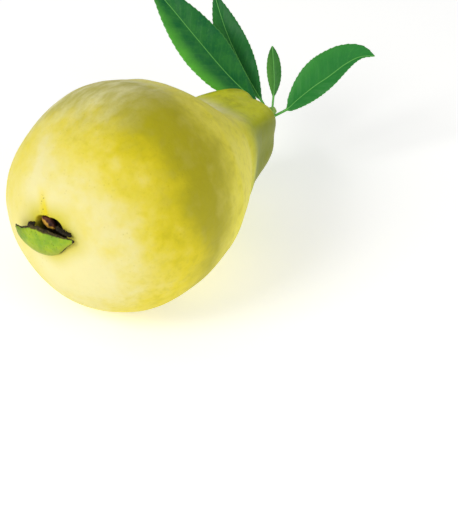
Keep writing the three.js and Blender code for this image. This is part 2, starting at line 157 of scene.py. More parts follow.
class Wire:
    """A number in a shader, which takes part in Python sums by adding Math nodes."""

    def __init__(self, book: "NodeBook", socket: bpy.types.NodeSocket) -> None:
        """Keeps the socket that carries the number, and the book that adds nodes."""
        self.book = book
        self.socket = socket

    def sum(self, operation: str, *others: Number, clamp: bool = False) -> "Wire":
        """Returns the outcome of one Math operation on this number and others."""
        settings = {"operation": operation, "use_clamp": clamp}
        return self.book.add("ShaderNodeMath", settings, dict(enumerate((self, *others))))

    def __add__(self, other: Number) -> "Wire":
        """Adds."""
        return self.sum("ADD", other)

    def __mul__(self, other: Number) -> "Wire":
        """Multiplies."""
        return self.sum("MULTIPLY", other)

    __radd__ = __add__
    __rmul__ = __mul__

    def __sub__(self, other: Number) -> "Wire":
        """Subtracts another number from this one."""
        return self.sum("SUBTRACT", other)

    def __rsub__(self, other: float) -> "Wire":
        """Subtracts this number from a plain one."""
        return self.sum("MULTIPLY", -1.0) + other

    def __abs__(self) -> "Wire":
        """Drops the sign."""
        return self.sum("ABSOLUTE")

    def fraction(self) -> "Wire":
        """Returns what is left after the last whole number."""
        return self.sum("FRACT")

    def clamped(self) -> "Wire":
        """Returns the number held between 0 and 1."""
        return self.sum("ADD", 0.0, clamp=True)

    def step(self, low: float, high: float) -> "Wire":
        """Returns 0 below low and 1 above high, with a soft step between them."""
        sockets = {"Value": self, "From Min": low, "From Max": high}
        return self.book.add("ShaderNodeMapRange", {"interpolation_type": "SMOOTHSTEP"}, sockets)


class NodeBook:
    """The node tree of one material."""

    def __init__(self, name: str) -> None:
        """Makes a material with only its shader and output.

        Args:
            name: The material's name.
        """
        self.material = bpy.data.materials.new(name)
        self.material.use_nodes = True
        self.tree = self.material.node_tree
        self.tree.nodes.clear()
        self.output = self.tree.nodes.new("ShaderNodeOutputMaterial")
        self.shader = self.tree.nodes.new("ShaderNodeBsdfPrincipled")
        self.tree.links.new(self.shader.outputs[0], self.output.inputs["Surface"])

    def plug(self, socket: bpy.types.NodeSocket, value: Any) -> None:
        """Sets a socket to a value, or links it to a wire.

        Args:
            socket: The socket.
            value: The value, or the wire that carries it.
        """
        if isinstance(value, Wire):
            self.tree.links.new(value.socket, socket)
        elif isinstance(value, tuple) and socket.type == "RGBA":
            socket.default_value = (*value, 1.0)
        else:
            socket.default_value = value

    def add(self, kind: str, settings: dict[str, Any], sockets: dict[Any, Any], output: Any = 0) -> Wire:
        """Adds one node.

        Args:
            kind: The node's type.
            settings: The node's own settings.
            sockets: Values or wires for its inputs, by name or number.
            output: The name or number of the output that is wanted.

        Returns:
            A wire from that output.
        """
        node = self.tree.nodes.new(kind)
        for key, value in settings.items():
            setattr(node, key, value)
        for key, value in sockets.items():
            self.plug(node.inputs[key], value)
        return Wire(self, node.outputs[output])

    def read(self, name: str) -> Wire:
        """Returns a number that the mesh holds at each of its points."""
        return self.add("ShaderNodeAttribute", {"attribute_name": name}, {}, "Fac")

    def place(self, stretch: Spot = (1.0, 1.0, 1.0)) -> Wire:
        """Returns the place on the piece in metres, scaled along each axis."""
        here = self.add("ShaderNodeTexCoord", {}, {}, "Object")
        return self.add("ShaderNodeMapping", {"vector_type": "POINT"}, {"Vector": here, "Scale": stretch})

    def noise(self, size: float, detail: float = 2.0, where: Wire | None = None) -> Wire:
        """Returns soft noise between 0 and 1 with spots of about a size in millimetres."""
        sockets = {"Vector": where or self.place(), "Scale": 1.0 / (size * MM), "Detail": detail}
        return self.add("ShaderNodeTexNoise", {"noise_dimensions": "3D"}, sockets)

    def cells(self, size: float, where: Wire | None = None) -> Wire:
        """Returns the distance to scattered points that lie about a size in millimetres apart."""
        sockets = {"Vector": where or self.place(), "Scale": 1.0 / (size * MM)}
        return self.add("ShaderNodeTexVoronoi", {"feature": "F1"}, sockets, "Distance")

    def blend(self, share: Number, low: Any, high: Any) -> Wire:
        """Returns a colour between two others, by a share."""
        return self.add("ShaderNodeMix", {"data_type": "RGBA"}, {0: share, 6: low, 7: high}, 2)

    def bump(self, height: Number, depth: float, strength: float = 1.0) -> Wire:
        """Returns a normal raised by a height, whose full depth is in millimetres."""
        sockets = {"Height": height, "Distance": depth * MM, "Strength": strength}
        return self.add("ShaderNodeBump", {}, sockets)

    def dress(self, **sockets: Any) -> bpy.types.Material:
        """Sets the shader's sockets, named with underscores for spaces.

        Args:
            **sockets: Values or wires, by the names of their sockets.

        Returns:
            The material.
        """
        for name, value in sockets.items():
            self.plug(self.shader.inputs[name.replace("_", " ")], value)
        return self.material


def add_piece(
    name: str, points: Sequence[Vector], faces: Sequence[Sequence[int]], material: bpy.types.Material,
    stands_for: str, notes: dict[str, Sequence[float]] | None = None,
) -> bpy.types.Object:
    """Makes one piece of the dressed part.

    Args:
        name: The piece's name.
        points: Its points in the part's frame, in millimetres.
        faces: Its faces, as lists of point numbers.
        material: Its finish.
        stands_for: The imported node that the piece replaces.
        notes: Numbers that the finish reads, one for each point.

    Returns:
        The piece's object.
    """
    mesh = bpy.data.meshes.new(name)
    mesh.from_pydata([point * MM for point in points], [], faces)
    mesh.validate()
    mesh.shade_smooth()
    for title, values in (notes or {}).items():
        mesh.attributes.new(title, "FLOAT", "POINT").data.foreach_set("value", list(values))
    mesh.materials.append(material)
    piece = bpy.data.objects.new(name, mesh)
    bpy.context.scene.collection.objects.link(piece)
    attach(piece, "root")
    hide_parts(stands_for)
    LOG.info("%s: %d points, %d faces", name, len(points), len(faces))
    return piece


def ring_faces(rings: int, sides: int) -> list[tuple[int, ...]]:
    """Returns the faces of a closed body whose points are one pole, rings of points, and another pole.

    Args:
        rings: How many rings there are.
        sides: How many points each ring has.

    Returns:
        The faces, as lists of point numbers.
    """
    def at(ring: int, side: int) -> int:
        """Returns the number of a ring's point."""
        return 1 + ring * sides + side % sides

    last = 1 + rings * sides
    faces: list[tuple[int, ...]] = []
    for side in range(sides):
        faces.append((0, at(0, side), at(0, side + 1)))
        faces.extend(
            (at(ring, side), at(ring + 1, side), at(ring + 1, side + 1), at(ring, side + 1))
            for ring in range(rings - 1)
        )
        faces.append((last, at(rings - 1, side + 1), at(rings - 1, side)))
    return faces


def slab_faces(rows: int, columns: int) -> list[tuple[int, ...]]:
    """Returns the faces of a thin body whose points are its upper grid and then its lower grid.

    Args:
        rows: Rows of points in each grid.
        columns: Points in each row.

    Returns:
        The faces, as lists of point numbers.
    """
    def at(face: int, row: int, column: int) -> int:
        """Returns the number of a point of the upper grid, 0, or the lower grid, 1."""
        return (face * rows + row) * columns + column

    faces: list[tuple[int, ...]] = []
    for row in range(rows - 1):
        for column in range(columns - 1):
            corners = [(row, column), (row + 1, column), (row + 1, column + 1), (row, column + 1)]
            faces.append(tuple(at(0, *corner) for corner in corners))
            faces.append(tuple(at(1, *corner) for corner in reversed(corners)))
    rim = [(row, 0) for row in range(rows - 1, 0, -1)] + [(0, column) for column in range(columns - 1)]
    rim += [(row, columns - 1) for row in range(rows - 1)]
    rim += [(rows - 1, column) for column in range(columns - 1, 0, -1)]
    for here, after in zip(rim, rim[1:] + rim[:1]):
        faces.append((at(0, *here), at(0, *after), at(1, *after), at(1, *here)))
    return faces


@dataclass(frozen=True)
class SkinFinish:
    """Thin waxy skin, pale at the blossom end, yellow on the body and olive towards the neck.

    Each span names where a colour starts and where it is full: along the fruit's axis or above the
    floor in millimetres, or between 0 and 1 where it sorts the values of a noise.
    """

    pale: Colour = (0.91, 0.83, 0.40)
    yellow: Colour = (0.86, 0.72, 0.014)
    olive: Colour = (0.50, 0.45, 0.010)
    shoulder: Colour = (0.94, 0.85, 0.070)
    neck: Colour = (0.72, 0.74, 0.022)
    # Dark green of the neck's streaks and of the painted shade on its near cheek.
    streak_and_painted_shade: Colour = (0.21, 0.25, 0.004)
    # Colour of the painted sheen along the top and of the painted highlights at the saddle.
    painted_sheen: Colour = (0.93, 0.88, 0.47)
    shade: Colour = (0.42, 0.37, 0.010)
    # Deeper yellow of the painted shade round the sunken cavity.
    painted_rim_shade: Colour = (0.72, 0.63, 0.020)
    # Near-black of the painted shade inside the cavity.
    painted_hollow_shade: Colour = (0.012, 0.008, 0.004)
    crease: Colour = (0.90, 0.74, 0.01)
    spot: Colour = (0.30, 0.22, 0.03)
    cloud_size: float = 17.0
    patch_size: float = 8.0
    fine_size: float = 3.5
    streak_size: float = 3.6
    mottle_size: float = 1.6
    fleck_gap: float = 1.7
    spot_gap: float = 0.9
    cloud_drift: float = 18.0
    patch_drift: float = 12.0
    pale_fine_drift: float = 8.0
    pale_patch_drift: float = 4.0
    # Painted bounce light: below this span of heights the skin is painted paler, by the two lags below.
    painted_bounce_span: Span = (22.0, 56.0)
    pale_lag: float = 8.0
    olive_lag: float = 13.0
    yellow_span: Span = (-40.0, -17.0)
    olive_span: Span = (-25.0, -7.0)
    shoulder_span: Span = (0.0, 23.0)
    neck_span: Span = (36.0, 50.0)
    streaked_neck: Span = (38.0, 52.0)
    # Painted shade: below this span of heights the skin is painted darker and more olive.
    underside_shade: Span = (4.0, 32.0)
    pale_patches: Span = (0.48, 0.72)
    shaded_parts: Span = (0.48, 0.75)
    shade_span: Span = (-30.0, -8.0)
    mottled_parts: Span = (0.45, 0.75)
    mottle_span: Span = (-36.0, -12.0)
    sheen_streaks: Span = (0.25, 0.80)
    green_streaks: Span = (0.42, 0.72)
    fleck_edge: Span = (0.05, 0.24)
    spot_edge: Span = (0.14, 0.34)
    patch_share: float = 0.08
    shade_share: float = 0.22
    mottle_share: float = 0.14
    green_share: float = 0.4
    # How strong the painted sheen and the painted saddle highlights are.
    sheen_share: float = 0.7
    sheen_base: float = 0.17
    saddle_highlight_share: float = 0.9
    saddle_highlight_base: float = 0.4
    flush_share: float = 0.38
    painted_shade_share: float = 0.92
    underside_shade_share: float = 0.28

    def ground(self, book: NodeBook, place: Wire, patch: Wire, fine: Wire) -> Wire:
        """Returns the colour of the plain skin, with painted bounce light that makes its lower part paler.

        Args:
            book: The finish's nodes.
            place: The place along the axis, made uneven.
            patch: The middle noise.
            fine: The fine noise.

        Returns:
            The colour, from the pale blossom end to the green neck.
        """
        # Painted bounce light: low rises towards the floor, where the pale reaches further and the olive
        # less far.
        low = 1.0 - book.read("height").step(*self.painted_bounce_span)
        ripe_and_bounce_lit = place - low * self.pale_lag + (fine - 0.5) * self.pale_fine_drift
        ripe_and_bounce_lit = ripe_and_bounce_lit + (patch - 0.5) * self.pale_patch_drift
        colour = book.blend(ripe_and_bounce_lit.step(*self.yellow_span), self.pale, self.yellow)
        colour = book.blend(book.read("flush") * self.flush_share, colour, self.yellow)
        colour = book.blend((place - low * self.olive_lag).step(*self.olive_span), colour, self.olive)
        colour = book.blend(place.step(*self.shoulder_span), colour, self.shoulder)
        colour = book.blend(book.read("along").step(*self.neck_span), colour, self.neck)
        colour = book.blend(patch.step(*self.pale_patches) * self.patch_share, colour, self.pale)
        shaded = fine.step(*self.shaded_parts) * self.shade_share * place.step(*self.shade_span)
        return book.blend(shaded, colour, self.shade)

    def streaks_and_painted_light(self, book: NodeBook, colour: Wire) -> Wire:
        """Returns the colour with green streaks on the neck, a pale streaky painted sheen along the top,
        painted highlights at the saddle, painted shade on the near cheek of the neck and painted shade on
        the underside.

        Args:
            book: The finish's nodes.
            colour: The colour so far.

        Returns:
            The colour with its streaks, painted sheen, painted highlights and painted shade.
        """
        streaks = book.noise(self.streak_size, 4.0, book.place((0.4, 1.0, 1.0)))
        # Painted sheen: pale streaks along the top of the fruit, with painted highlights at the saddle
        # between body and neck.
        top_sheen = book.read("painted_sheen") * (streaks.step(*self.sheen_streaks) * self.sheen_share + self.sheen_base)
        painted_sheen = top_sheen + book.read("saddle_highlight") * (streaks * self.saddle_highlight_share + self.saddle_highlight_base)
        green = streaks.step(*self.green_streaks) * book.read("along").step(*self.streaked_neck)
        colour = book.blend(green * self.green_share, colour, self.streak_and_painted_shade)
        colour = book.blend(painted_sheen.clamped(), colour, self.painted_sheen)
        # Painted shade: the neck's near lower cheek, turned from the light, is painted dark green.
        colour = book.blend(book.read("streak_and_painted_shade") * self.painted_shade_share, colour, self.streak_and_painted_shade)
        # Painted shade: darker and more olive towards the floor.
        shaded = (1.0 - book.read("height").step(*self.underside_shade)) * self.underside_shade_share
        return book.blend(shaded, colour, self.olive)

    def blossom_end(self, book: NodeBook, colour: Wire) -> Wire:
        """Returns the colour with painted shade round the cavity, the spotted crease and painted near-black
        shade in the hollow.

        Args:
            book: The finish's nodes.
            colour: The colour so far.

        Returns:
            The colour with its marks.
        """
        # Painted shade: a deeper yellow band round the sunken cavity.
        colour = book.blend(book.read("painted_rim_shade"), colour, self.painted_rim_shade)
        crease = book.read("crease")
        colour = book.blend(crease * 0.9, colour, self.crease)
        spots = (1.0 - book.cells(self.spot_gap).step(*self.spot_edge)) * crease.step(0.3, 0.8)
        colour = book.blend(spots * 0.75, colour, self.spot)
        # Painted shade: the cavity's hollow is painted near-black.
        return book.blend(book.read("painted_hollow_shade"), colour, self.painted_hollow_shade)

    def material(self) -> bpy.types.Material:
        """Makes the finish.

        Returns:
            The material.
        """
        book = NodeBook("guava_skin")
        clouds, patch = book.noise(self.cloud_size, 3.0), book.noise(self.patch_size, 3.0)
        fine = book.noise(self.fine_size, 3.0)
        place = book.read("along") + (clouds - 0.5) * self.cloud_drift + (patch - 0.5) * self.patch_drift
        colour = self.streaks_and_painted_light(book, self.ground(book, place, patch, fine))
        flecks = 1.0 - book.cells(self.fleck_gap).step(*self.fleck_edge)
        colour = book.blend(flecks * book.noise(5.0).step(0.4, 0.7) * 0.2, colour, self.shade)
        mottle = book.noise(self.mottle_size, 3.0).step(*self.mottled_parts) * place.step(*self.mottle_span)
        colour = book.blend(mottle * self.mottle_share, colour, self.shade)
        colour = self.blossom_end(book, colour)
        grain = book.noise(0.9, 3.0) * 0.5 + book.noise(3.2, 2.0) + flecks * 0.25
        return book.dress(
            Base_Color=colour, Roughness=0.42 + fine * 0.16, Normal=book.bump(grain, 0.3, 0.6),
            Subsurface_Weight=0.15, Subsurface_Radius=(1.0, 0.75, 0.25), Subsurface_Scale=0.002,
            Specular_IOR_Level=0.2,
        )


@dataclass(frozen=True)
class LeafFinish:
    """Leathery leaf, glossy above and dull and pale below, with a pale midrib and arched side veins.

    Spans across the blade run from 0 at the midrib to 1 at the edge. The rib's own is in millimetres.
    """

    name: str
    deep: Colour = (0.005, 0.133, 0.033)
    fresh: Colour = (0.130, 0.540, 0.045)
    vein: Colour = (0.200, 0.620, 0.130)
    under: Colour = (0.110, 0.300, 0.085)
    # How strongly, and from where across the blade, the painted light brightens it.
    painted_edge_light: float = 0.75
    edge_from: float = 0.40
    side_veins: float = 11.0
    vein_slant: float = 1.3
    rib_span: Span = (0.12, 0.32)
    margin_span: Span = (0.955, 1.0)
    petiole_span: Span = (0.0, 0.04)
    dull_tip: Span = (0.5, 0.95)

    def material(self) -> bpy.types.Material:
        """Makes the finish.

        Returns:
            The material.
        """
        book = NodeBook(self.name)
        across, length, width = book.read("across"), book.read("length"), book.read("width")
        under = book.read("under")
        outwards = abs(across)
        arch = length * self.side_veins - outwards * self.vein_slant + (book.noise(9.0) - 0.5) * 0.35
        ridge = 1.0 - abs(arch.fraction() - 0.5).step(0.0, 0.09)
        ridge = ridge * outwards.step(0.0, 0.12) * (1.0 - outwards.step(0.6, 0.9))
        finer = 1.0 - abs((arch * 4.0).fraction() - 0.5).step(0.0, 0.3)
        rib = 1.0 - (outwards * width).step(*self.rib_span)
        margin = outwards.step(*self.margin_span)
        mottle = book.noise(5.0, 3.0)
        # Painted light: the blade is painted a brighter green towards its left edge, less so near the tip,
        # with a real mottle mixed in.
        lit = across.step(self.edge_from, 1.0) * (1.0 - length.step(*self.dull_tip) * 0.7)
        glow = (lit * self.painted_edge_light + mottle * 0.5 - 0.2).clamped()
        colour = book.blend(glow, self.deep, self.fresh)
        colour = book.blend(ridge * 0.07, colour, self.vein)
        colour = book.blend(finer * 0.02, colour, self.vein)
        colour = book.blend(book.noise(0.9, 2.0).step(0.5, 0.8) * 0.12, colour, self.fresh)
        colour = book.blend(under * 0.8, colour, self.under)
        petiole = 1.0 - length.step(*self.petiole_span)
        colour = book.blend((rib * 0.8 + margin * 0.45 + petiole * 0.5).clamped(), colour, self.vein)
        relief = ridge * 0.3 + rib * 0.8 + finer * 0.08 + book.noise(0.7, 2.0) * 0.25
        return book.dress(
            Base_Color=colour, Roughness=0.38 + under * 0.3 + mottle * 0.14,
            Normal=book.bump(relief, 0.16, 0.7), Specular_IOR_Level=0.2,
            Subsurface_Weight=0.08, Subsurface_Radius=(0.5, 1.0, 0.3), Subsurface_Scale=0.001,
        )


@dataclass(frozen=True)
class SepalFinish:
    """Fleshy green sepal whose margins have dried to a dark brown rim."""

    name: str
    fresh: Colour = (0.38, 0.53, 0.018)
    deep: Colour = (0.24, 0.42, 0.022)
    root: Colour = (0.36, 0.40, 0.02)
    dry: Colour = (0.026, 0.019, 0.005)
    bark: Colour = (0.085, 0.062, 0.016)
    shaded: Colour = (0.085, 0.17, 0.012)
    dryness: float = 0.0
    root_span: Span = (0.0, 0.5)
    shaded_span: Span = (0.04, 0.38)
    rim_span: Span = (0.45, 0.8)

    def material(self) -> bpy.types.Material:
        """Makes the finish.

        Returns:
            The material.
        """
        book = NodeBook(self.name)
        mottle = book.noise(3.5, 3.0)
        colour = book.blend(mottle.step(*HALVES), self.deep, self.fresh)
        colour = book.blend((1.0 - book.read("rise").step(*self.root_span)) * 0.7, colour, self.root)
        shaded = (1.0 - book.read("span").step(*self.shaded_span)) * 0.6
        colour = book.blend(shaded, colour, self.shaded)
        fine = book.noise(0.8, 3.0)
        rim = (book.read("margin") + (fine - 0.5) * 0.35 + self.dryness).step(*self.rim_span)
        rust = book.blend(fine.step(0.4, 0.65), self.dry, self.bark)
        colour = book.blend(rim, colour, rust)
        specks = (1.0 - book.cells(1.1).step(0.08, 0.28)) * 0.5
        colour = book.blend(specks, colour, self.bark)
        relief = fine * (0.4 + rim) + mottle * 0.5
        return book.dress(
            Base_Color=colour, Roughness=0.55 + rim * 0.25, Normal=book.bump(relief, 0.25, 0.8),
            Subsurface_Weight=0.08, Subsurface_Radius=(0.6, 1.0, 0.3), Subsurface_Scale=0.0012,
            Specular_IOR_Level=0.25,
        )


@dataclass(frozen=True)
class ScarFinish:
    """Dried flower disc, maroon with an orange-brown crest."""

    dark: Colour = (0.035, 0.006, 0.006)
    brown: Colour = (0.16, 0.040, 0.016)
    crest: Colour = (0.84, 0.44, 0.05)

    def material(self) -> bpy.types.Material:
        """Makes the finish.

        Returns:
            The material.
        """
        book = NodeBook("flower_scar")
        coarse, fine = book.noise(2.2, 3.0), book.noise(0.6, 3.0)
        colour = book.blend(coarse.step(*HALVES), self.dark, self.brown)
        crest = (book.read("crest") + (coarse - 0.5) * 0.9).step(0.35, 0.7)
        colour = book.blend(crest, colour, self.crest)
        colour = book.blend(fine.step(0.55, 0.8) * 0.5, colour, self.dark)
        relief = book.bump(coarse + fine * 0.6, 0.35, 0.9)
        return book.dress(Base_Color=colour, Roughness=0.6 + fine * 0.3, Normal=relief)


@dataclass(frozen=True)
class StemFinish:
    """Young green stem with pale lenticels, brown where it was cut."""

    green: Colour = (0.24, 0.48, 0.055)
    light: Colour = (0.40, 0.60, 0.12)
    brown: Colour = (0.20, 0.13, 0.05)

    def material(self) -> bpy.types.Material:
        """Makes the finish.

        Returns:
            The material.
        """
        book = NodeBook("green_stem")
        coarse, fine = book.noise(2.0, 3.0), book.noise(0.5, 2.0)
        colour = book.blend(coarse.step(*HALVES), self.green, self.light)
        lenticels = 1.0 - book.cells(0.9, book.place((0.5, 1.0, 1.0))).step(0.1, 0.28)
        colour = book.blend(lenticels * 0.5, colour, self.brown)
        colour = book.blend(book.read("cut").step(0.9, 1.0) * 0.8, colour, self.brown)
        relief = book.bump(fine + lenticels * 0.6, 0.2, 0.7)
        return book.dress(
            Base_Color=colour, Roughness=0.5 + fine * 0.2, Normal=relief,
            Subsurface_Weight=0.1, Subsurface_Radius=(0.6, 1.0, 0.3), Subsurface_Scale=0.001,
        )


@dataclass(frozen=True)
class FloorFinish:
    """Plain pale floor."""

    pale: Colour = (0.90, 0.90, 0.89)
    cloudy: Colour = (0.84, 0.84, 0.83)
    white: Colour = (1.0, 1.0, 1.0)
    glow: float = 0.42

    def material(self) -> bpy.types.Material:
        """Makes the finish.

        Returns:
            The material.
        """
        book = NodeBook("pale_floor")
        colour = book.blend(book.noise(60.0, 2.0) * 0.04, self.pale, self.cloudy)
        return book.dress(
            Base_Color=colour, Roughness=0.75, Specular_IOR_Level=0.2,
            Emission_Color=self.white, Emission_Strength=self.glow,
        )


@dataclass(frozen=True)
class Flat:
    """A broad shallow flat on the fruit's body, centred on a place along the axis and an angle round it."""

    along: float
    spread: float
    angle: float
    width: float
    depth: float

    def depth_at(self, along: float, angle: float) -> float:
        """Returns how far the flat lowers the skin at a place."""
        lengthwise = self.depth * bell(along - self.along, self.spread)
        return lengthwise * bell(turned(angle, self.angle), self.width)


@dataclass(frozen=True)
class FruitForm:
    """The fruit's shape, in millimetres along its own axis from the centre of its round body."""

    body_radius: float = 39.5
    blossom_reach: float = 37.5
    belly_reach: float = 41.5
    neck_reach: float = 76.5
    neck_start: float = 33.0
    neck_root_radius: float = 20.9
    neck_end_radius: float = 15.0
    neck_squareness: float = 5.8
    neck_fade: float = 20.0
    saddle_blend: float = 3.6
    neck_bend: float = 2.75
    rib_count: int = 5
    rib_height: float = 0.065
    rib_phase: float = -1.83
    swell_height: float = 0.35
    shoulder_place: float = 42.0
    shoulder_spread: float = 11.0
    shoulder_height: float = 5.2
    notch_angle: float = math.radians(22.0)
    notch_from: float = math.radians(22.0)
    notch_to: float = math.radians(72.0)
    groove_angle: float = math.radians(-2.5)
    groove_width: float = math.radians(9.0)
    groove_from: float = 58.0
    groove_to: float = 70.0
    groove_depth: float = 1.2
    end_breadth: float = 15.0
    flats: tuple[Flat, ...] = (
        Flat(along=-6.0, spread=26.0, angle=math.radians(62.0), width=math.radians(25.0), depth=2.4),
        Flat(along=20.0, spread=19.0, angle=math.radians(8.0), width=math.radians(27.0), depth=1.9),
        Flat(along=4.0, spread=24.0, angle=math.radians(-139.0), width=math.radians(33.0), depth=1.2),
    )
    lean: float = math.radians(8.0)
    rest_flat_depth: float = 2.2
    ribs_from: float = 0.8
    ribs_full: float = 1.5
    end_reach: float = 9.0
    blossom_rings: float = 2.2
    stem_rings: float = 1.0
    cavity_side: float = 0.0
    cavity_up: float = 0.5
    cavity_squash: float = 1.25
    cavity_floor: float = 5.1
    cavity_rim: float = 7.1
    cavity_depth: float = 3.6
    cavity_lobes: int = 5
    cavity_lobe: float = 0.06
    cavity_turn: float = 0.7
    dimple_depth: float = 0.9
    dimple_spread: float = 12.0
    crease_angle: float = 1.13
    crease_from: float = 6.2
    crease_to: float = 15.0
    crease_half_width: float = 1.2
    crease_depth: float = 0.7
    stem_side: float = -1.0
    stem_up: float = 3.6
    stem_dip_depth: float = 2.0
    stem_dip_spread: float = 5.0

    @property
    def centre(self) -> Vector:
        """The body's centre in the part's frame."""
        reach = math.hypot(self.belly_reach * math.sin(self.lean), self.body_radius * math.cos(self.lean))
        return Vector((0.0, 0.0, reach - self.rest_flat_depth))

    @property
    def axis(self) -> Vector:
        """The way from the blossom end to the stem end."""
        return Vector((math.cos(self.lean), 0.0, -math.sin(self.lean)))

    @property
    def upward(self) -> Vector:
        """The way out of the fruit's top."""
        return Vector((math.sin(self.lean), 0.0, math.cos(self.lean)))

    def on_fruit(self, along: float, side: float, up: float) -> Vector:
        """Returns the point of the part at a place along the fruit's axis, to its side and above it."""
        return self.centre + self.axis * along + Vector((0.0, side, 0.0)) + self.upward * up

    def profile(self, along: float) -> float:
        """Returns the fruit's half-breadth at a place along its axis.

        Args:
            along: The place along the axis.

        Returns:
            The half-breadth, before ribs, swells and flats.
        """
        reach = self.blossom_reach if along < 0.0 else self.belly_reach
        body = self.body_radius * math.sqrt(max(0.0, 1.0 - (along / reach) ** 2))
        if along <= 0.0:
            return body
        share = min(max((along - self.neck_start) / (self.neck_reach - self.neck_start), 0.0), 1.0)
        taper = mix(self.neck_root_radius, self.neck_end_radius, share)
        blunt = max(0.0, 1.0 - share**self.neck_squareness) ** (1.0 / self.neck_squareness)
        neck = taper * blunt * min(along / self.neck_fade, 1.0)
        return (body**self.saddle_blend + neck**self.saddle_blend) ** (1.0 / self.saddle_blend)

    def ring_places(self, count: int, steps: int = 5000) -> list[float]:
        """Returns places along the axis that are evenly spaced on the profile, and closer at both ends.

        Args:
            count: How many stretches the profile is cut into.
            steps: How finely each half of the profile is measured.

        Returns:
            The places of the rings between the two ends.
        """
        line = [-self.blossom_reach * math.cos(math.pi / 2 * i / steps) for i in range(steps + 1)]
        for i in range(steps - 1, -1, -1):
            line.append(self.neck_reach * (1.0 - (i / steps) ** self.neck_squareness))
        travelled = [0.0]
        for last, here in zip(line, line[1:]):
            blossom = smooth(-here, self.blossom_reach - self.end_reach, self.blossom_reach)
            weight = 1.0 + self.blossom_rings * blossom
            weight += self.stem_rings * smooth(here, self.neck_reach - self.end_reach, self.neck_reach)
            length = math.hypot(here - last, self.profile(here) - self.profile(last))
            travelled.append(travelled[-1] + length * weight)
        places: list[float] = []
        index = 0
        for ring in range(1, count):
            while travelled[index] < travelled[-1] * ring / count:
                index += 1
            places.append(line[index])
        return places

    def swell(self, along: float, angle: float) -> float:
        """Returns how far the faint uneven swells lift the skin.

        Args:
            along: The place along the axis.
            angle: The angle round the axis, from the top.

        Returns:
            The lift.
        """
        slow = math.sin(2 * angle + 0.05 * along + 0.6)
        slow += 0.7 * math.sin(3 * angle - 0.08 * along + 2.1)
        quick = 0.5 * math.sin(5 * angle + 0.11 * along + 4.0) * math.sin(0.13 * along + 1.0)
        return self.swell_height * (slow + quick)

    def shoulder(self, along: float, angle: float) -> float:
        """Returns how far the skin stands out between body and neck, on all sides but the notch on top."""
        round_notch = smooth(abs(turned(angle, self.notch_angle)), self.notch_from, self.notch_to)
        return self.shoulder_height * round_notch * bell(along - self.shoulder_place, self.shoulder_spread)

    def flattened(self, along: float, angle: float) -> float:
        """Returns how far the body's shallow flats lower the skin."""
        return sum(flat.depth_at(along, angle) for flat in self.flats)

    def groove(self, along: float, angle: float) -> float:
        """Returns how deep the groove between the two upper lobes at the stem end is.

        Args:
            along: The place along the axis.
            angle: The angle round the axis, from the top.

        Returns:
            The depth.
        """
        lengthwise = smooth(along, self.groove_from, self.groove_to)
        lengthwise *= smooth(self.profile(along), 0.0, self.end_breadth)
        return self.groove_depth * lengthwise * bell(turned(angle, self.groove_angle), self.groove_width)

    def cavity_place(self, side: float, up: float) -> tuple[float, float]:
        """Returns the distance from the cavity's middle, and the radius of its lobed rim on that side.

        Args:
            side: The place to the side of the axis.
            up: The place above the axis.

        Returns:
            The distance and the radius.
        """
        from_side, from_up = side - self.cavity_side, (up - self.cavity_up) * self.cavity_squash
        turn = math.atan2(from_up, from_side) - self.cavity_turn
        rim = self.cavity_rim * (1.0 + self.cavity_lobe * math.cos(self.cavity_lobes * turn))
        return math.hypot(from_side, from_up), rim

    def crease_share(self, side: float, up: float) -> float:
        """Returns how far a place lies in the pinched crease, from 0 to 1.

        Args:
            side: The place to the side of the axis.
            up: The place above the axis.

        Returns:
            The share.
        """
        from_side, from_up = side - self.cavity_side, up - self.cavity_up
        along = from_side * math.cos(self.crease_angle) + from_up * math.sin(self.crease_angle)
        across = from_up * math.cos(self.crease_angle) - from_side * math.sin(self.crease_angle)
        fade = smooth(along, self.crease_from - 2.0, self.crease_from)
        fade *= 1.0 - smooth(along, self.crease_from, self.crease_to)
        return fade * bell(across, self.crease_half_width)

    def blossom_dip(self, side: float, up: float, with_cavity: bool = True) -> float:
        """Returns how deep the skin is drawn in at the blossom end.

        Args:
            side: The place to the side of the axis.
            up: The place above the axis.
            with_cavity: Whether the cavity itself counts.

        Returns:
            The depth.
        """
        distance, rim = self.cavity_place(side, up)
        dip = self.dimple_depth * bell(distance, self.dimple_spread)
        dip += self.crease_depth * self.crease_share(side, up)
        if with_cavity:
            dip += self.cavity_depth * (1.0 - smooth(distance, self.cavity_floor, rim))
        return dip

    def skin_point(self, along: float, angle: float, relief: Callable[[Vector], float]) -> Vector:
        """Returns a point on the skin.

        Args:
            along: The place along the axis.
            angle: The angle round the axis, from the top.
            relief: Gives the height of the fine relief at a point.

        Returns:
            The point in the part's frame.
        """
        ramp = smooth(along, self.ribs_from * self.body_radius, self.ribs_full * self.body_radius)
        rib = 1.0 + self.rib_height * ramp * math.cos(self.rib_count * angle + self.rib_phase)
        plain = self.profile(along)
        breadth = min(plain / self.body_radius, 1.0)
        radius = plain * rib + self.swell(along, angle) * breadth
        radius += self.shoulder(along, angle) - self.flattened(along, angle) * breadth
        radius -= self.groove(along, angle)
        radius += relief(Vector((along, radius * math.sin(angle), radius * math.cos(angle))))
        side, above = radius * math.sin(angle), radius * math.cos(angle)
        up = above + self.neck_bend * (max(along, 0.0) / self.neck_reach) ** 2
        if along < 0.0:
            return self.on_fruit(along + self.blossom_dip(side, above), side, up)
        distance = math.hypot(side - self.stem_side, up - self.stem_up)
        return self.on_fruit(along - self.stem_dip_depth * bell(distance, self.stem_dip_spread), side, up)

    def blossom_skin(self, side: float, up: float) -> float:
        """Returns the place along the axis of the bare skin at the blossom end, without its cavity."""
        share = min(math.hypot(side, up) / self.body_radius, 1.0)
        return -self.blossom_reach * math.sqrt(1.0 - share**2) + self.blossom_dip(side, up, False)


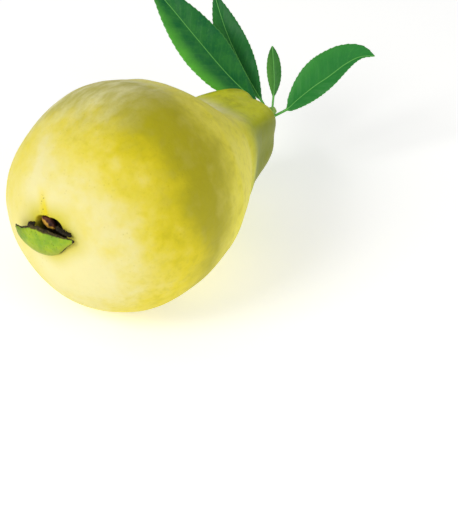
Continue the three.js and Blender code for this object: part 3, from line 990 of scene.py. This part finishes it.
@dataclass(frozen=True)
class SkinMarks:
    """Works out the numbers that the skin's finish reads at each point.

    Places and distances are in millimetres. Angles are in degrees from the fruit's top, below zero on
    the near side. Shares of the cavity's rim say how far a mark reaches from the cavity's middle.
    """

    form: FruitForm
    flush_span: Span = (5.0, 16.0)
    flush_slant: float = 0.35
    # Where the painted hollow shade reaches: less far on the open upper side, and further on the near side
    # as the green sepal's painted shadow.
    open_side_span: Span = (1.5, 4.5)
    open_up_span: Span = (1.2, 3.2)
    open_reach: float = 0.38
    sepal_shadow_reach: float = 0.12
    near_side_span: Span = (4.0, 8.0)
    hollow_span: Span = (0.72, 1.04)
    # The band of painted shade round the cavity.
    halo_span: Span = (0.8, 2.4)
    halo_share: float = 0.95
    halo_softness: float = 1.1
    ledge_span: Span = (0.85, 1.10)
    ledge_share: float = 0.75
    crease_softness: float = 0.45
    # The painted saddle highlights: a line across the top and a stripe over the neck.
    line_share: float = 0.8
    line_place: float = 38.0
    line_spread: float = 6.0
    line_angle: float = 6.0
    line_width: float = 12.0
    stripe_place: float = 45.0
    stripe_spread: float = 5.0
    stripe_angle: float = -8.0
    stripe_width: float = 26.0
    # Where the painted sheen lies: its angles from the top and its places along the axis.
    sheen_near: Span = (-22.0, 9.0)
    sheen_far: Span = (50.0, 100.0)
    sheen_start: Span = (-30.0, -10.0)
    sheen_end: Span = (40.0, 50.0)
    # Where the painted shade on the neck's near cheek lies.
    cheek_span: Span = (38.0, 54.0)
    cheek_upper: Span = (34.0, 60.0)
    cheek_lower: Span = (120.0, 160.0)

    def cavity_marks(self, side: float, up: float, here: float) -> dict[str, float]:
        """Returns the marks round the cavity.

        Args:
            side: The place to the side of the axis.
            up: The place above the axis.
            here: 1 at the blossom end and 0 elsewhere.

        Returns:
            The marks by name.
        """
        distance, rim = self.form.cavity_place(side, up)
        # Painted shade in the hollow: it reaches less far on the open upper side, whose wall takes the
        # crease's yellow, and further on the near side, as the green sepal's painted shadow.
        open_side = smooth(side, *self.open_side_span) * smooth(up, *self.open_up_span)
        reach = 1.0 - self.open_reach * open_side
        reach += self.sepal_shadow_reach * smooth(-side, *self.near_side_span)
        painted_hollow_shade = 1.0 - smooth(distance / reach, *(share * rim for share in self.hollow_span))
        painted_rim_shade = 1.0 - smooth(distance, *(share * rim for share in self.halo_span))
        ledge = 1.0 - smooth(distance, *(share * rim for share in self.ledge_span))
        crease = self.form.crease_share(side, up) ** self.crease_softness
        return {
            "flush": here * smooth(side - self.flush_slant * up, *self.flush_span),
            "painted_hollow_shade": here * painted_hollow_shade,
            "painted_rim_shade": here * self.halo_share * painted_rim_shade**self.halo_softness,
            "crease": here * max(crease, self.ledge_share * open_side * ledge),
        }

    def upper_marks(self, along: float, from_top: float) -> dict[str, float]:
        """Returns the painted highlights and sheen on the top and the painted shade on the neck.

        Args:
            along: The place along the axis.
            from_top: The angle from the top, in degrees.

        Returns:
            The marks by name.
        """
        # Painted highlights at the saddle: a bright line across the top where body meets neck, and a broad
        # stripe over the neck's top.
        line = self.line_share * bell(along - self.line_place, self.line_spread)
        line *= bell(from_top - self.line_angle, self.line_width)
        stripe = bell(along - self.stripe_place, self.stripe_spread)
        stripe *= bell(from_top - self.stripe_angle, self.stripe_width)
        # Painted sheen along the top, faded in from the blossom end and out on the neck.
        ridge = smooth(from_top, *self.sheen_near) * (1.0 - smooth(from_top, *self.sheen_far))
        ridge *= smooth(along, *self.sheen_start)
        # Painted shade on the near lower side of the neck.
        near = smooth(-from_top, *self.cheek_upper) * (1.0 - smooth(-from_top, *self.cheek_lower))
        return {
            "saddle_highlight": max(line, stripe),
            "painted_sheen": ridge * (1.0 - smooth(along, *self.sheen_end)),
            "streak_and_painted_shade": smooth(along, *self.cheek_span) * near,
        }

    def at(self, point: Vector, along: float, angle: float) -> dict[str, float]:
        """Returns all the marks at a point.

        Args:
            point: The point in the part's frame.
            along: Its place along the axis before the ends were drawn in.
            angle: Its angle round the axis, from the top.

        Returns:
            The marks by name.
        """
        up = (point - self.form.centre).dot(self.form.upward)
        return {
            "along": along,
            "height": point.z,
            **self.cavity_marks(point.y, up, 1.0 if along < 0.0 else 0.0),
            **self.upper_marks(along, math.degrees(turned(angle, 0.0))),
        }


@dataclass
class Fruit:
    """The fruit itself: one skin, fine enough to hold its dimples."""

    form: FruitForm
    finish: SkinFinish = SkinFinish()
    rings: int = 290
    sides: int = 280
    dimple_size: float = 5.5
    dimple_height: float = 0.11
    dimple_shift: Spot = (7.0, 3.0, 1.0)
    lump_size: float = 15.0
    lump_height: float = 0.22

    def relief(self, point: Vector) -> float:
        """Returns the height of the skin's own lumps and dimples at a point."""
        lump = noise.noise(point / self.lump_size) * self.lump_height
        dimple = noise.noise(point / self.dimple_size + Vector(self.dimple_shift))
        return lump + dimple * self.dimple_height

    def build(self) -> bpy.types.Object:
        """Makes the skin.

        Returns:
            The skin's piece.
        """
        form = self.form
        marks = SkinMarks(form)
        places = [-form.blossom_reach, *form.ring_places(self.rings + 1), form.neck_reach]
        points: list[Vector] = []
        notes: dict[str, list[float]] = {}
        for index, along in enumerate(places):
            pole = index in (0, len(places) - 1)
            for side in range(1 if pole else self.sides):
                angle = 2 * math.pi * side / self.sides
                point = form.skin_point(along, angle, self.relief)
                point.z = max(point.z, 0.0)
                points.append(point)
                for title, value in marks.at(point, along, angle).items():
                    notes.setdefault(title, []).append(value)
        faces = ring_faces(len(places) - 2, self.sides)
        material = self.finish.material()
        return add_piece("guava_skin", points, faces, material, "fruit", notes)


@dataclass(frozen=True)
class SepalForm:
    """A sepal between two edges, seen from the blossom end as side and up, and how far each stands off."""

    name: str
    stands_for: str
    lower: tuple[tuple[float, float], ...]
    upper: tuple[tuple[float, float], ...]
    lower_lift: tuple[float, ...]
    upper_lift: tuple[float, ...]
    bulge: float
    thickness: float
    ragged: float
    crinkle: float
    steps: int = 90
    rows: int = 26
    rooted: bool = True
    root_dip: float = 0.9
    root_dip_width: float = 0.10
    rim_thinning: float = 0.45
    rim_span: Span = (0.72, 1.0)
    end_span: Span = (0.80, 1.0)
    thinned_span: Span = (0.75, 1.0)
    near_seam: Span = (0.60, 0.78)
    far_seam: Span = (0.12, 0.36)
    seam_height: float = 0.09
    tear_pitch: float = 14.0
    fine_tear_pitch: float = 37.0
    crinkle_pitch: float = 0.9

    def build(self, form: FruitForm, finish: SepalFinish, slot: Slot) -> bpy.types.Object:
        """Makes the sepal.

        Args:
            form: The fruit that it stands on.
            finish: Its finish.
            slot: The record's slot for that finish. Not used.

        Returns:
            The sepal's piece.
        """
        lower = [Vector((side, up, 0.0)) for side, up in self.lower]
        upper = [Vector((side, up, 0.0)) for side, up in self.upper]
        grids: dict[Face, list[Vector]] = {Face.UPPER: [], Face.LOWER: []}
        notes: dict[str, list[float]] = {"margin": [], "rise": [], "span": []}
        for step in range(self.steps + 1):
            share = step / self.steps
            start, end = spline(lower, share), spline(upper, share)
            ends = 1.0 - math.sin(math.pi * share)
            tear = noise.noise(Vector((share * self.tear_pitch, self.bulge, 2.0)))
            tear += 0.5 * noise.noise(Vector((share * self.fine_tear_pitch, 1.0, 5.0)))
            for rung in range(self.rows + 1):
                rise = rung / self.rows
                at = start.lerp(end, rise)
                at.y += self.ragged * tear * rise**3
                lift = mix(value_along(self.lower_lift, share), value_along(self.upper_lift, share), rise)
                if self.rooted:
                    lift -= self.root_dip * bell(rise, self.root_dip_width) * math.sin(math.pi * share)
                crown = self.bulge * math.sin(math.pi * rise) * math.sin(math.pi * share)
                spot = Vector((at.x * self.crinkle_pitch, at.y * self.crinkle_pitch, self.crinkle))
                wrinkle = noise.noise(spot) * self.crinkle * (0.35 + rise)
                along = form.blossom_skin(at.x, at.y) - lift - crown - wrinkle
                edge = max(rise, ends)
                half = self.thickness / 2 * mix(1.0, self.rim_thinning, smooth(edge, *self.thinned_span))
                for face in Face:
                    grids[face].append(form.on_fruit(along - face.value * half, at.x, at.y))
                seam = max(smooth(share, *self.near_seam), 1.0 - smooth(share, *self.far_seam))
                seam *= 1.0 - smooth(rise, 0.0, self.seam_height)
                rim = max(smooth(rise, *self.rim_span), smooth(ends, *self.end_span), seam)
                notes["margin"].append(rim)
                notes["rise"].append(rise)
                notes["span"].append(share)
        both = {title: values * 2 for title, values in notes.items()}
        points = grids[Face.UPPER] + grids[Face.LOWER]
        faces = slab_faces(self.steps + 1, self.rows + 1)
        return add_piece(self.name, points, faces, finish.material(), self.stands_for, both)


@dataclass
class Calyx:
    """What is left of the flower at the blossom end: one green sepal, withered ones and the dried disc."""

    form: FruitForm
    green: SepalForm = SepalForm(
        name="green_sepal", stands_for="calyx_sepal",
        lower=(
            (13.5, -2.7), (12.6, -6.4), (9.9, -8.6), (5.1, -9.1),
            (-0.3, -7.9), (-4.8, -5.2), (-7.9, -1.3), (-10.6, 1.7),
        ),
        upper=(
            (13.1, -1.3), (9.1, -0.2), (6.6, 1.6), (3.7, 2.4),
            (-0.2, 2.6), (-3.8, 2.6), (-7.5, 2.6), (-10.6, 2.6),
        ),
        lower_lift=(2.6, 1.5, 0.85, 0.85, 0.85, 0.9, 1.2, 1.5),
        upper_lift=(3.0, 3.2, 3.0, 2.6, 2.4, 2.2, 2.0, 1.7),
        bulge=0.9, thickness=0.62, ragged=0.35, crinkle=0.3,
    )
    right: SepalForm = SepalForm(
        name="withered_sepal_right", stands_for="calyx_withered_right",
        lower=((-2.9, 3.4), (-5.2, 3.15), (-7.2, 2.95), (-9.0, 2.9)),
        upper=((-2.8, 4.5), (-5.3, 4.4), (-7.6, 4.1), (-9.3, 3.6)),
        lower_lift=(1.0, 1.2, 1.2, 1.1), upper_lift=(0.7, 0.7, 0.7, 0.8),
        bulge=0.5, thickness=0.5, ragged=0.45, crinkle=0.5, steps=60, rows=12, rooted=False,
    )
    left: SepalForm = SepalForm(
        name="withered_sepal_left", stands_for="calyx_withered_left",
        lower=((9.1, -0.6), (7.5, 0.1), (5.8, 0.9)),
        upper=((9.2, 0.4), (7.7, 1.4), (5.9, 2.2)),
        lower_lift=(1.0, 1.2, 1.0), upper_lift=(0.8, 0.8, 0.8),
        bulge=0.3, thickness=0.5, ragged=0.4, crinkle=0.45, steps=40, rows=12, rooted=False,
    )
    scar_side: float = 2.1
    scar_up: float = 2.6
    scar_sunk: float = 1.9
    scar_half_length: float = 3.05
    scar_half_width: float = 1.5
    scar_half_height: float = 1.3
    scar_tilt: float = 0.32
    scar_stretch: float = 1.6
    scar_lump: float = 0.22
    scar_wrinkle: float = 0.14
    scar_unevenness: float = 0.1

    def build(self) -> None:
        """Makes the sepals and the disc."""
        self.green.build(self.form, SepalFinish("green_sepal"), Slot.SEPAL)
        withered = SepalFinish(
            "withered_sepal", dryness=1.0, dry=(0.010, 0.007, 0.003), bark=(0.034, 0.023, 0.008),
        )
        self.right.build(self.form, withered, Slot.WITHERED)
        self.left.build(self.form, withered, Slot.WITHERED)
        self.scar()

    def scar(self, rounds: int = 60, sides: int = 64) -> bpy.types.Object:
        """Makes the dried flower disc, a wrinkled bean that lies across the cavity's floor.

        Args:
            rounds: Stretches along the bean.
            sides: Points round it.

        Returns:
            The disc's piece.
        """
        form = self.form
        base = form.blossom_skin(self.scar_side, self.scar_up) + self.scar_sunk
        points: list[Vector] = []
        crest: list[float] = []
        for step in range(rounds + 1):
            slope = math.pi * step / rounds
            for index in range(1 if step in (0, rounds) else sides):
                turn = 2 * math.pi * index / sides
                around = math.sin(slope)
                ahead = math.cos(slope)
                spot = Vector((ahead * self.scar_stretch, around * math.cos(turn), around * math.sin(turn)))
                lump = 1.0 + self.scar_lump * noise.noise(spot * 1.7)
                lump += self.scar_wrinkle * abs(noise.noise(spot * 4.5))
                length = -self.scar_half_length * ahead * (1.0 + self.scar_unevenness * noise.noise(spot))
                width = self.scar_half_width * around * math.cos(turn) * lump
                height = self.scar_half_height * around * math.sin(turn) * lump
                side = self.scar_side + length * math.cos(self.scar_tilt) - width * math.sin(self.scar_tilt)
                up = self.scar_up + length * math.sin(self.scar_tilt) + width * math.cos(self.scar_tilt)
                points.append(form.on_fruit(base - height, side, up))
                crest.append(max(0.0, math.sin(turn)) * (0.5 - 0.5 * math.cos(turn)) * 1.4)
        faces = ring_faces(rounds - 1, sides)
        material = ScarFinish().material()
        notes = {"crest": crest}
        return add_piece("dried_flower_disc", points, faces, material, "flower_scar", notes)


@dataclass(frozen=True)
class LeafForm:
    """One leaf: where it hangs, and the form of its blade, in millimetres.

    The root is a place beside the stem as along, side and up, and the foot is where the petiole enters
    the stem. The tip is in the part's directions from the centre of the round body. The spine lists
    shares of the leaf's length, with millimetres to its left and out of its face.
    """

    name: str
    stands_for: str
    root: Spot
    tip: Spot
    facing: Spot
    foot: Spot
    petiole: float
    left: float
    right: float
    left_fullness: Span
    right_fullness: Span
    spine: tuple[Spot, ...]
    fold: float
    wave: float
    waves: float
    teeth: int
    tooth: float
    finish: LeafFinish
    petiole_radius: float = 0.48
    blade_thickness: float = 0.42
    midrib_thickness: float = 1.2
    foot_rows: int = 8
    petiole_rows: int = 14
    blade_rows: int = 150
    half_columns: int = 12
    puff: float = 0.16
    slimmest: float = 0.22
    rib_groove: float = 0.16
    groove_width: float = 0.45
    keel_width: float = 0.6
    fold_rounding: float = 0.5
    edge_thinning: float = 0.55
    edge_span: Span = (0.85, 1.0)
    tooth_span: Span = (0.8, 1.0)
    blade_opening: float = 0.12
    crowding: float = 1.25
    tooth_slant: float = 1.6

    def blade_share(self, share: float, fullness: Span) -> float:
        """Returns a blade's half-width at a share of its length, as a share of its widest.

        Args:
            share: The share of its length.
            fullness: How fast it widens and narrows.

        Returns:
            The share of its widest.
        """
        rise, fall = fullness
        widest = rise / (rise + fall)
        return share**rise * (1.0 - share) ** fall / (widest**rise * (1.0 - widest) ** fall)

    def quilting(self, in_blade: float, spread: float) -> float:
        """Returns how far the blade puffs up between its side veins.

        Args:
            in_blade: The share of the blade's length.
            spread: The share of its half-width.

        Returns:
            The lift.
        """
        arch = in_blade * self.finish.side_veins - spread * self.finish.vein_slant
        puff = self.puff * abs(math.sin(math.pi * arch)) * smooth(spread, 0.05, 0.4)
        return puff * (1.0 - smooth(spread, 0.75, 1.0))

    def build(self, form: FruitForm) -> bpy.types.Object:
        """Makes the leaf.

        Args:
            form: The fruit whose stem carries it.

        Returns:
            The leaf's piece.
        """
        root = form.on_fruit(*self.root)
        tip = form.centre + Vector(self.tip)
        length = (tip - root).length
        forward = (tip - root).normalized()
        left = Vector(self.facing).cross(forward).normalized()
        turn = Matrix((forward, left, forward.cross(left))).transposed()
        stops = [Vector((share * length, aside, out)) for share, aside, out in self.spine]
        stops = [Vector((0.0, 0.0, 0.0)), *stops, Vector((length, 0.0, 0.0))]
        foot = turn.transposed() @ (form.on_fruit(*self.foot) - root)
        start = self.petiole / length
        blade = [i / self.blade_rows for i in range(self.blade_rows + 1)]
        shares = [start * i / self.petiole_rows for i in range(self.petiole_rows)]
        shares += [mix(start, 1.0, share) for share in blade]
        bend = [foot, stops[0], spline(stops, 0.5 * start * (len(stops) - 1))]
        line = [spline(bend, 0.5 * i / self.foot_rows) for i in range(self.foot_rows)]
        line += even_line(stops, shares)
        in_blades = [0.0] * (self.foot_rows + self.petiole_rows) + blade
        grids: dict[Face, list[Vector]] = {Face.UPPER: [], Face.LOWER: []}
        titles = ("across", "length", "width")
        notes: dict[str, list[float]] = {title: [] for title in titles}
        for row, (centre, in_blade) in enumerate(zip(line, in_blades)):
            ahead = (line[min(row + 1, len(line) - 1)] - line[max(row - 1, 0)]).normalized()
            aside = Vector((-ahead.y, ahead.x, 0.0)).normalized()
            out = ahead.cross(aside)
            slim = max(self.petiole_radius * (1.0 - in_blade), self.slimmest)
            bladeness = smooth(in_blade, 0.0, self.blade_opening)
            stalk = mix(self.petiole_radius, self.blade_thickness / 2, bladeness)
            midrib = mix(self.midrib_thickness, self.blade_thickness, in_blade)
            rib = mix(2 * self.petiole_radius, midrib, bladeness)
            tooth = self.tooth * ((in_blade * self.teeth) % 1.0) ** self.tooth_slant
            tooth *= smooth(1.0 - in_blade, 0.0, 0.04)
            for column in range(-self.half_columns, self.half_columns + 1):
                share = column / self.half_columns
                widest = self.left if column > 0 else self.right
                fullness = self.left_fullness if column > 0 else self.right_fullness
                half = math.hypot(slim, widest * self.blade_share(in_blade, fullness))
                half += tooth * smooth(abs(share), *self.tooth_span)
                offset = half * math.copysign(abs(share) ** self.crowding, share)
                hand = math.copysign(1.0, share) if column else 0.0
                sway = self.wave * math.sin(2 * math.pi * self.waves * in_blade + hand)
                raised = self.fold * math.hypot(offset, self.fold_rounding) + sway * (offset / widest) ** 2
                raised += self.quilting(in_blade, abs(share)) * bladeness
                groove = self.rib_groove * bell(offset, self.groove_width) * bladeness
                keel = (rib - 2 * stalk) * bell(offset, self.keel_width) * bladeness
                round_off = 1.0 - 0.75 * (1.0 - bladeness) * abs(share) ** 3
                thin = mix(1.0, self.edge_thinning, smooth(abs(share), *self.edge_span) * bladeness)
                place = centre + aside * offset
                rise = raised + stalk * thin * round_off - groove
                drop = raised - stalk * thin * round_off - keel
                grids[Face.UPPER].append(root + turn @ (place + out * rise))
                grids[Face.LOWER].append(root + turn @ (place + out * drop))
                for title, value in zip(titles, (share, in_blade, half)):
                    notes[title].append(value)
        both = {title: values * 2 for title, values in notes.items()}
        both["under"] = [0.0] * len(grids[Face.UPPER]) + [1.0] * len(grids[Face.LOWER])
        points = grids[Face.UPPER] + grids[Face.LOWER]
        faces = slab_faces(len(line), 2 * self.half_columns + 1)
        material = self.finish.material()
        return add_piece(self.name, points, faces, material, self.stands_for, both)


BROAD = LeafForm(
    name="broad_leaf", stands_for="leaf_broad",
    root=(84.5, 0.8, 5.5), tip=(77.1, 50.9, 32.7), facing=(-0.6, -0.47, 0.65), foot=(85.6, -0.4, 4.6),
    petiole=3.5, left=9.1, right=7.9, left_fullness=(0.88, 1.1), right_fullness=(1.0, 1.1),
    spine=((0.28, 1.6, 2.0), (0.56, 1.3, 3.0), (0.81, 0.4, 1.8)),
    fold=0.22, wave=0.5, waves=3.2, teeth=26, tooth=0.28, finish=LeafFinish("broad_leaf"),
)
BACK = LeafForm(
    name="back_leaf", stands_for="leaf_back",
    root=(87.2, 1.3, 4.6), tip=(97.6, 35.5, 25.7), facing=(-0.7, -0.42, 0.58), foot=(86.8, -0.3, 4.2),
    petiole=3.5, left=5.0, right=6.1, left_fullness=(1.0, 1.1), right_fullness=(1.0, 1.1),
    spine=((0.33, 1.6, 1.2), (0.66, 1.8, 1.6)),
    fold=0.3, wave=0.4, waves=2.6, teeth=22, tooth=0.24,
    finish=LeafFinish(
        "back_leaf", deep=(0.013, 0.145, 0.032), fresh=(0.055, 0.34, 0.045),
        side_veins=9.0, edge_from=-0.15,
    ),
)
SMALL = LeafForm(
    name="small_leaf", stands_for="leaf_small",
    root=(87.9, -0.9, 6.7), tip=(100.5, 9.2, 10.5), facing=(-0.63, -0.52, 0.58), foot=(87.3, -1.4, 4.6),
    petiole=3.1, left=2.7, right=2.7, left_fullness=(0.9, 0.85), right_fullness=(0.9, 0.85),
    spine=((0.33, -0.6, 0.3), (0.66, -0.4, 0.7)),
    fold=0.15, wave=0.15, waves=1.5, teeth=12, tooth=0.13,
    finish=LeafFinish(
        "small_leaf", deep=(0.040, 0.20, 0.034), fresh=(0.11, 0.35, 0.05),
        side_veins=7.0, edge_from=-0.5,
    ),
    petiole_radius=0.4, midrib_thickness=0.8, blade_rows=90, half_columns=9, puff=0.08,
)
RIGHT = LeafForm(
    name="right_leaf", stands_for="leaf_right",
    root=(87.0, -3.6, 3.7), tip=(116.1, -26.5, 12.7), facing=(-0.57, -0.25, 0.79), foot=(87.2, -1.8, 4.2),
    petiole=4.2, left=8.5, right=4.9, left_fullness=(1.0, 0.9), right_fullness=(0.8, 1.6),
    spine=(
        (0.12, -0.3, 0.2), (0.22, 0.5, 0.8), (0.41, 1.4, 1.6),
        (0.56, 1.6, 2.0), (0.75, 2.6, 1.6), (0.89, 2.3, 0.9),
    ),
    fold=0.3, wave=0.4, waves=2.4, teeth=22, tooth=0.24,
    finish=LeafFinish(
        "right_leaf", deep=(0.024, 0.235, 0.040), fresh=(0.065, 0.36, 0.05),
        side_veins=9.0, painted_edge_light=0.4,
    ),
)


@dataclass
class Sprig:
    """The stem and its four leaves."""

    form: FruitForm
    leaves: tuple[LeafForm, ...] = (BROAD, BACK, SMALL, RIGHT)
    stem_line: tuple[tuple[float, float, float, float], ...] = (
        (73.0, -1.0, 3.6, 1.75), (77.0, -1.0, 3.7, 1.6), (81.0, -1.0, 3.9, 1.5),
        (85.0, -1.0, 4.1, 1.7), (87.2, -1.0, 4.2, 1.85), (89.2, -1.1, 4.3, 1.3),
    )
    stem_steps: int = 90
    stem_sides: int = 48
    ridges: int = 4
    ridge_height: float = 0.05
    bark_height: float = 0.05
    bark_pitch: float = 22.0
    cut_narrowing: float = 0.2

    def build(self) -> None:
        """Makes the stem and the leaves."""
        self.stem()
        for leaf in self.leaves:
            leaf.build(self.form)

    def stem(self) -> bpy.types.Object:
        """Makes the stem, a slightly ridged rod that is thicker at its node and cut off behind it.

        Returns:
            The stem's piece.
        """
        form = self.form
        stops = [form.on_fruit(*stop[:3]) for stop in self.stem_line]
        radii = [stop[3] for stop in self.stem_line]
        points = [spline(stops, 0.0)]
        cut = [0.0]
        for step in range(self.stem_steps + 1):
            share = step / self.stem_steps
            centre = spline(stops, share)
            before, after = max(share - 0.01, 0.0), min(share + 0.01, 1.0)
            ahead = (spline(stops, after) - spline(stops, before)).normalized()
            across = ahead.cross(form.upward).normalized()
            over = across.cross(ahead)
            for index in range(self.stem_sides):
                angle = 2 * math.pi * index / self.stem_sides
                bark = noise.noise(Vector((share * self.bark_pitch, angle, 0.0)))
                ridge = 1.0 + self.ridge_height * math.cos(self.ridges * angle + 0.5)
                ridge += self.bark_height * bark
                narrowed = 1.0 - self.cut_narrowing * smooth(share, 0.97, 1.0)
                radius = value_along(radii, share) * ridge * narrowed
                points.append(centre + over * radius * math.cos(angle) - across * radius * math.sin(angle))
                cut.append(smooth(share, 0.94, 1.0))
        points.append(spline(stops, 1.0))
        cut.append(1.0)
        faces = ring_faces(self.stem_steps + 1, self.stem_sides)
        material = StemFinish().material()
        return add_piece("green_stem", points, faces, material, "stem", {"cut": cut})


@dataclass(frozen=True)
class Lamp:
    """A square soft light: its place and the length of its sides in metres, and its power in watts."""

    name: str
    place: Spot
    size: float
    power: float
    colour: Colour


@dataclass
class Studio:
    """Pale floor, soft lights and the camera, which looks at the fruit as the photograph does."""

    form: FruitForm
    elevation: float = math.radians(35.4)
    turn: float = math.radians(39.5)
    distance: float = 0.52
    frame_width: int = 458
    frame_height: int = 512
    focal_pixels: float = 1539.0
    body_pixel: tuple[float, float] = (121.8, 196.4)
    sensor: float = 36.0
    floor_size: float = 3.0
    world_light: float = 0.42
    lamps: tuple[Lamp, ...] = (
        Lamp("key", place=(-0.80, 0.24, 0.76), size=0.45, power=5.35, colour=(1.0, 0.99, 0.96)),
        Lamp("fill", place=(-0.20, -0.85, 0.60), size=0.5, power=1.2, colour=(1.0, 1.0, 0.98)),
    )

    def build(self) -> None:
        """Makes the floor, the lights and the camera."""
        self.floor()
        self.lights()
        self.camera()

    def floor(self) -> None:
        """Makes the floor, level with the flat spot that the fruit rests on."""
        half = self.floor_size / 2
        mesh = bpy.data.meshes.new("floor")
        square = [(-half, -half, 0), (half, -half, 0), (half, half, 0), (-half, half, 0)]
        mesh.from_pydata(square, [], [(0, 1, 2, 3)])
        mesh.materials.append(FloorFinish().material())
        floor = bpy.data.objects.new("floor", mesh)
        bpy.context.scene.collection.objects.link(floor)

    def hang(self, lamp: Lamp) -> None:
        """Adds one light that looks at the fruit.

        Args:
            lamp: The light's values.
        """
        light = bpy.data.lights.new(lamp.name, "AREA")
        light.size = lamp.size
        light.energy = lamp.power
        light.color = lamp.colour
        hung = bpy.data.objects.new(lamp.name, light)
        hung.location = lamp.place
        sight = self.form.centre * MM - Vector(lamp.place)
        hung.rotation_euler = sight.to_track_quat("-Z", "Y").to_euler()
        bpy.context.scene.collection.objects.link(hung)

    def lights(self) -> None:
        """Adds the lights and the pale surroundings."""
        world = bpy.data.worlds.new("studio")
        world.use_nodes = True
        background = world.node_tree.nodes["Background"]
        background.inputs["Color"].default_value = (1.0, 1.0, 1.0, 1.0)
        background.inputs["Strength"].default_value = self.world_light
        bpy.context.scene.world = world
        for lamp in self.lamps:
            self.hang(lamp)
        bpy.context.scene.view_settings.view_transform = "Standard"

    def camera(self) -> None:
        """Adds the camera, turned until the body's centre falls on its place in the photograph."""
        level = math.cos(self.elevation)
        ahead, aside = math.cos(self.turn) * level, math.sin(self.turn) * level
        sight = Vector((ahead, aside, -math.sin(self.elevation)))
        right = sight.cross(Vector((0.0, 0.0, 1.0))).normalized()
        facing = Matrix((right, right.cross(sight), -sight)).transposed()
        over = (self.body_pixel[0] - self.frame_width / 2) / self.focal_pixels
        above = (self.frame_height / 2 - self.body_pixel[1]) / self.focal_pixels
        swing = Vector((0.0, 0.0, -1.0)).rotation_difference(Vector((over, above, -1.0))).to_matrix()
        data = bpy.data.cameras.new("camera")
        data.sensor_fit = "VERTICAL"
        data.sensor_height = self.sensor
        data.lens = self.focal_pixels * self.sensor / self.frame_height
        camera = bpy.data.objects.new("camera", data)
        place = Matrix.Translation(self.form.centre * MM - sight * self.distance)
        camera.matrix_world = place @ (facing @ swing.transposed()).to_4x4()
        bpy.context.scene.collection.objects.link(camera)
        bpy.context.scene.camera = camera


def corners(box: tuple[Vector, Vector]) -> list[list[float]]:
    """Returns a box's two corners as plain lists of numbers."""
    return [[float(value) for value in corner] for corner in box]


def main() -> None:
    """Builds the studio, the fruit, its calyx and its sprig."""
    logging.basicConfig(level=logging.INFO, format="%(name)s %(message)s")
    form = FruitForm()
    Studio(form).build()
    Fruit(form).build()
    Calyx(form).build()
    Sprig(form).build()


if __name__ == "__main__":
    main()
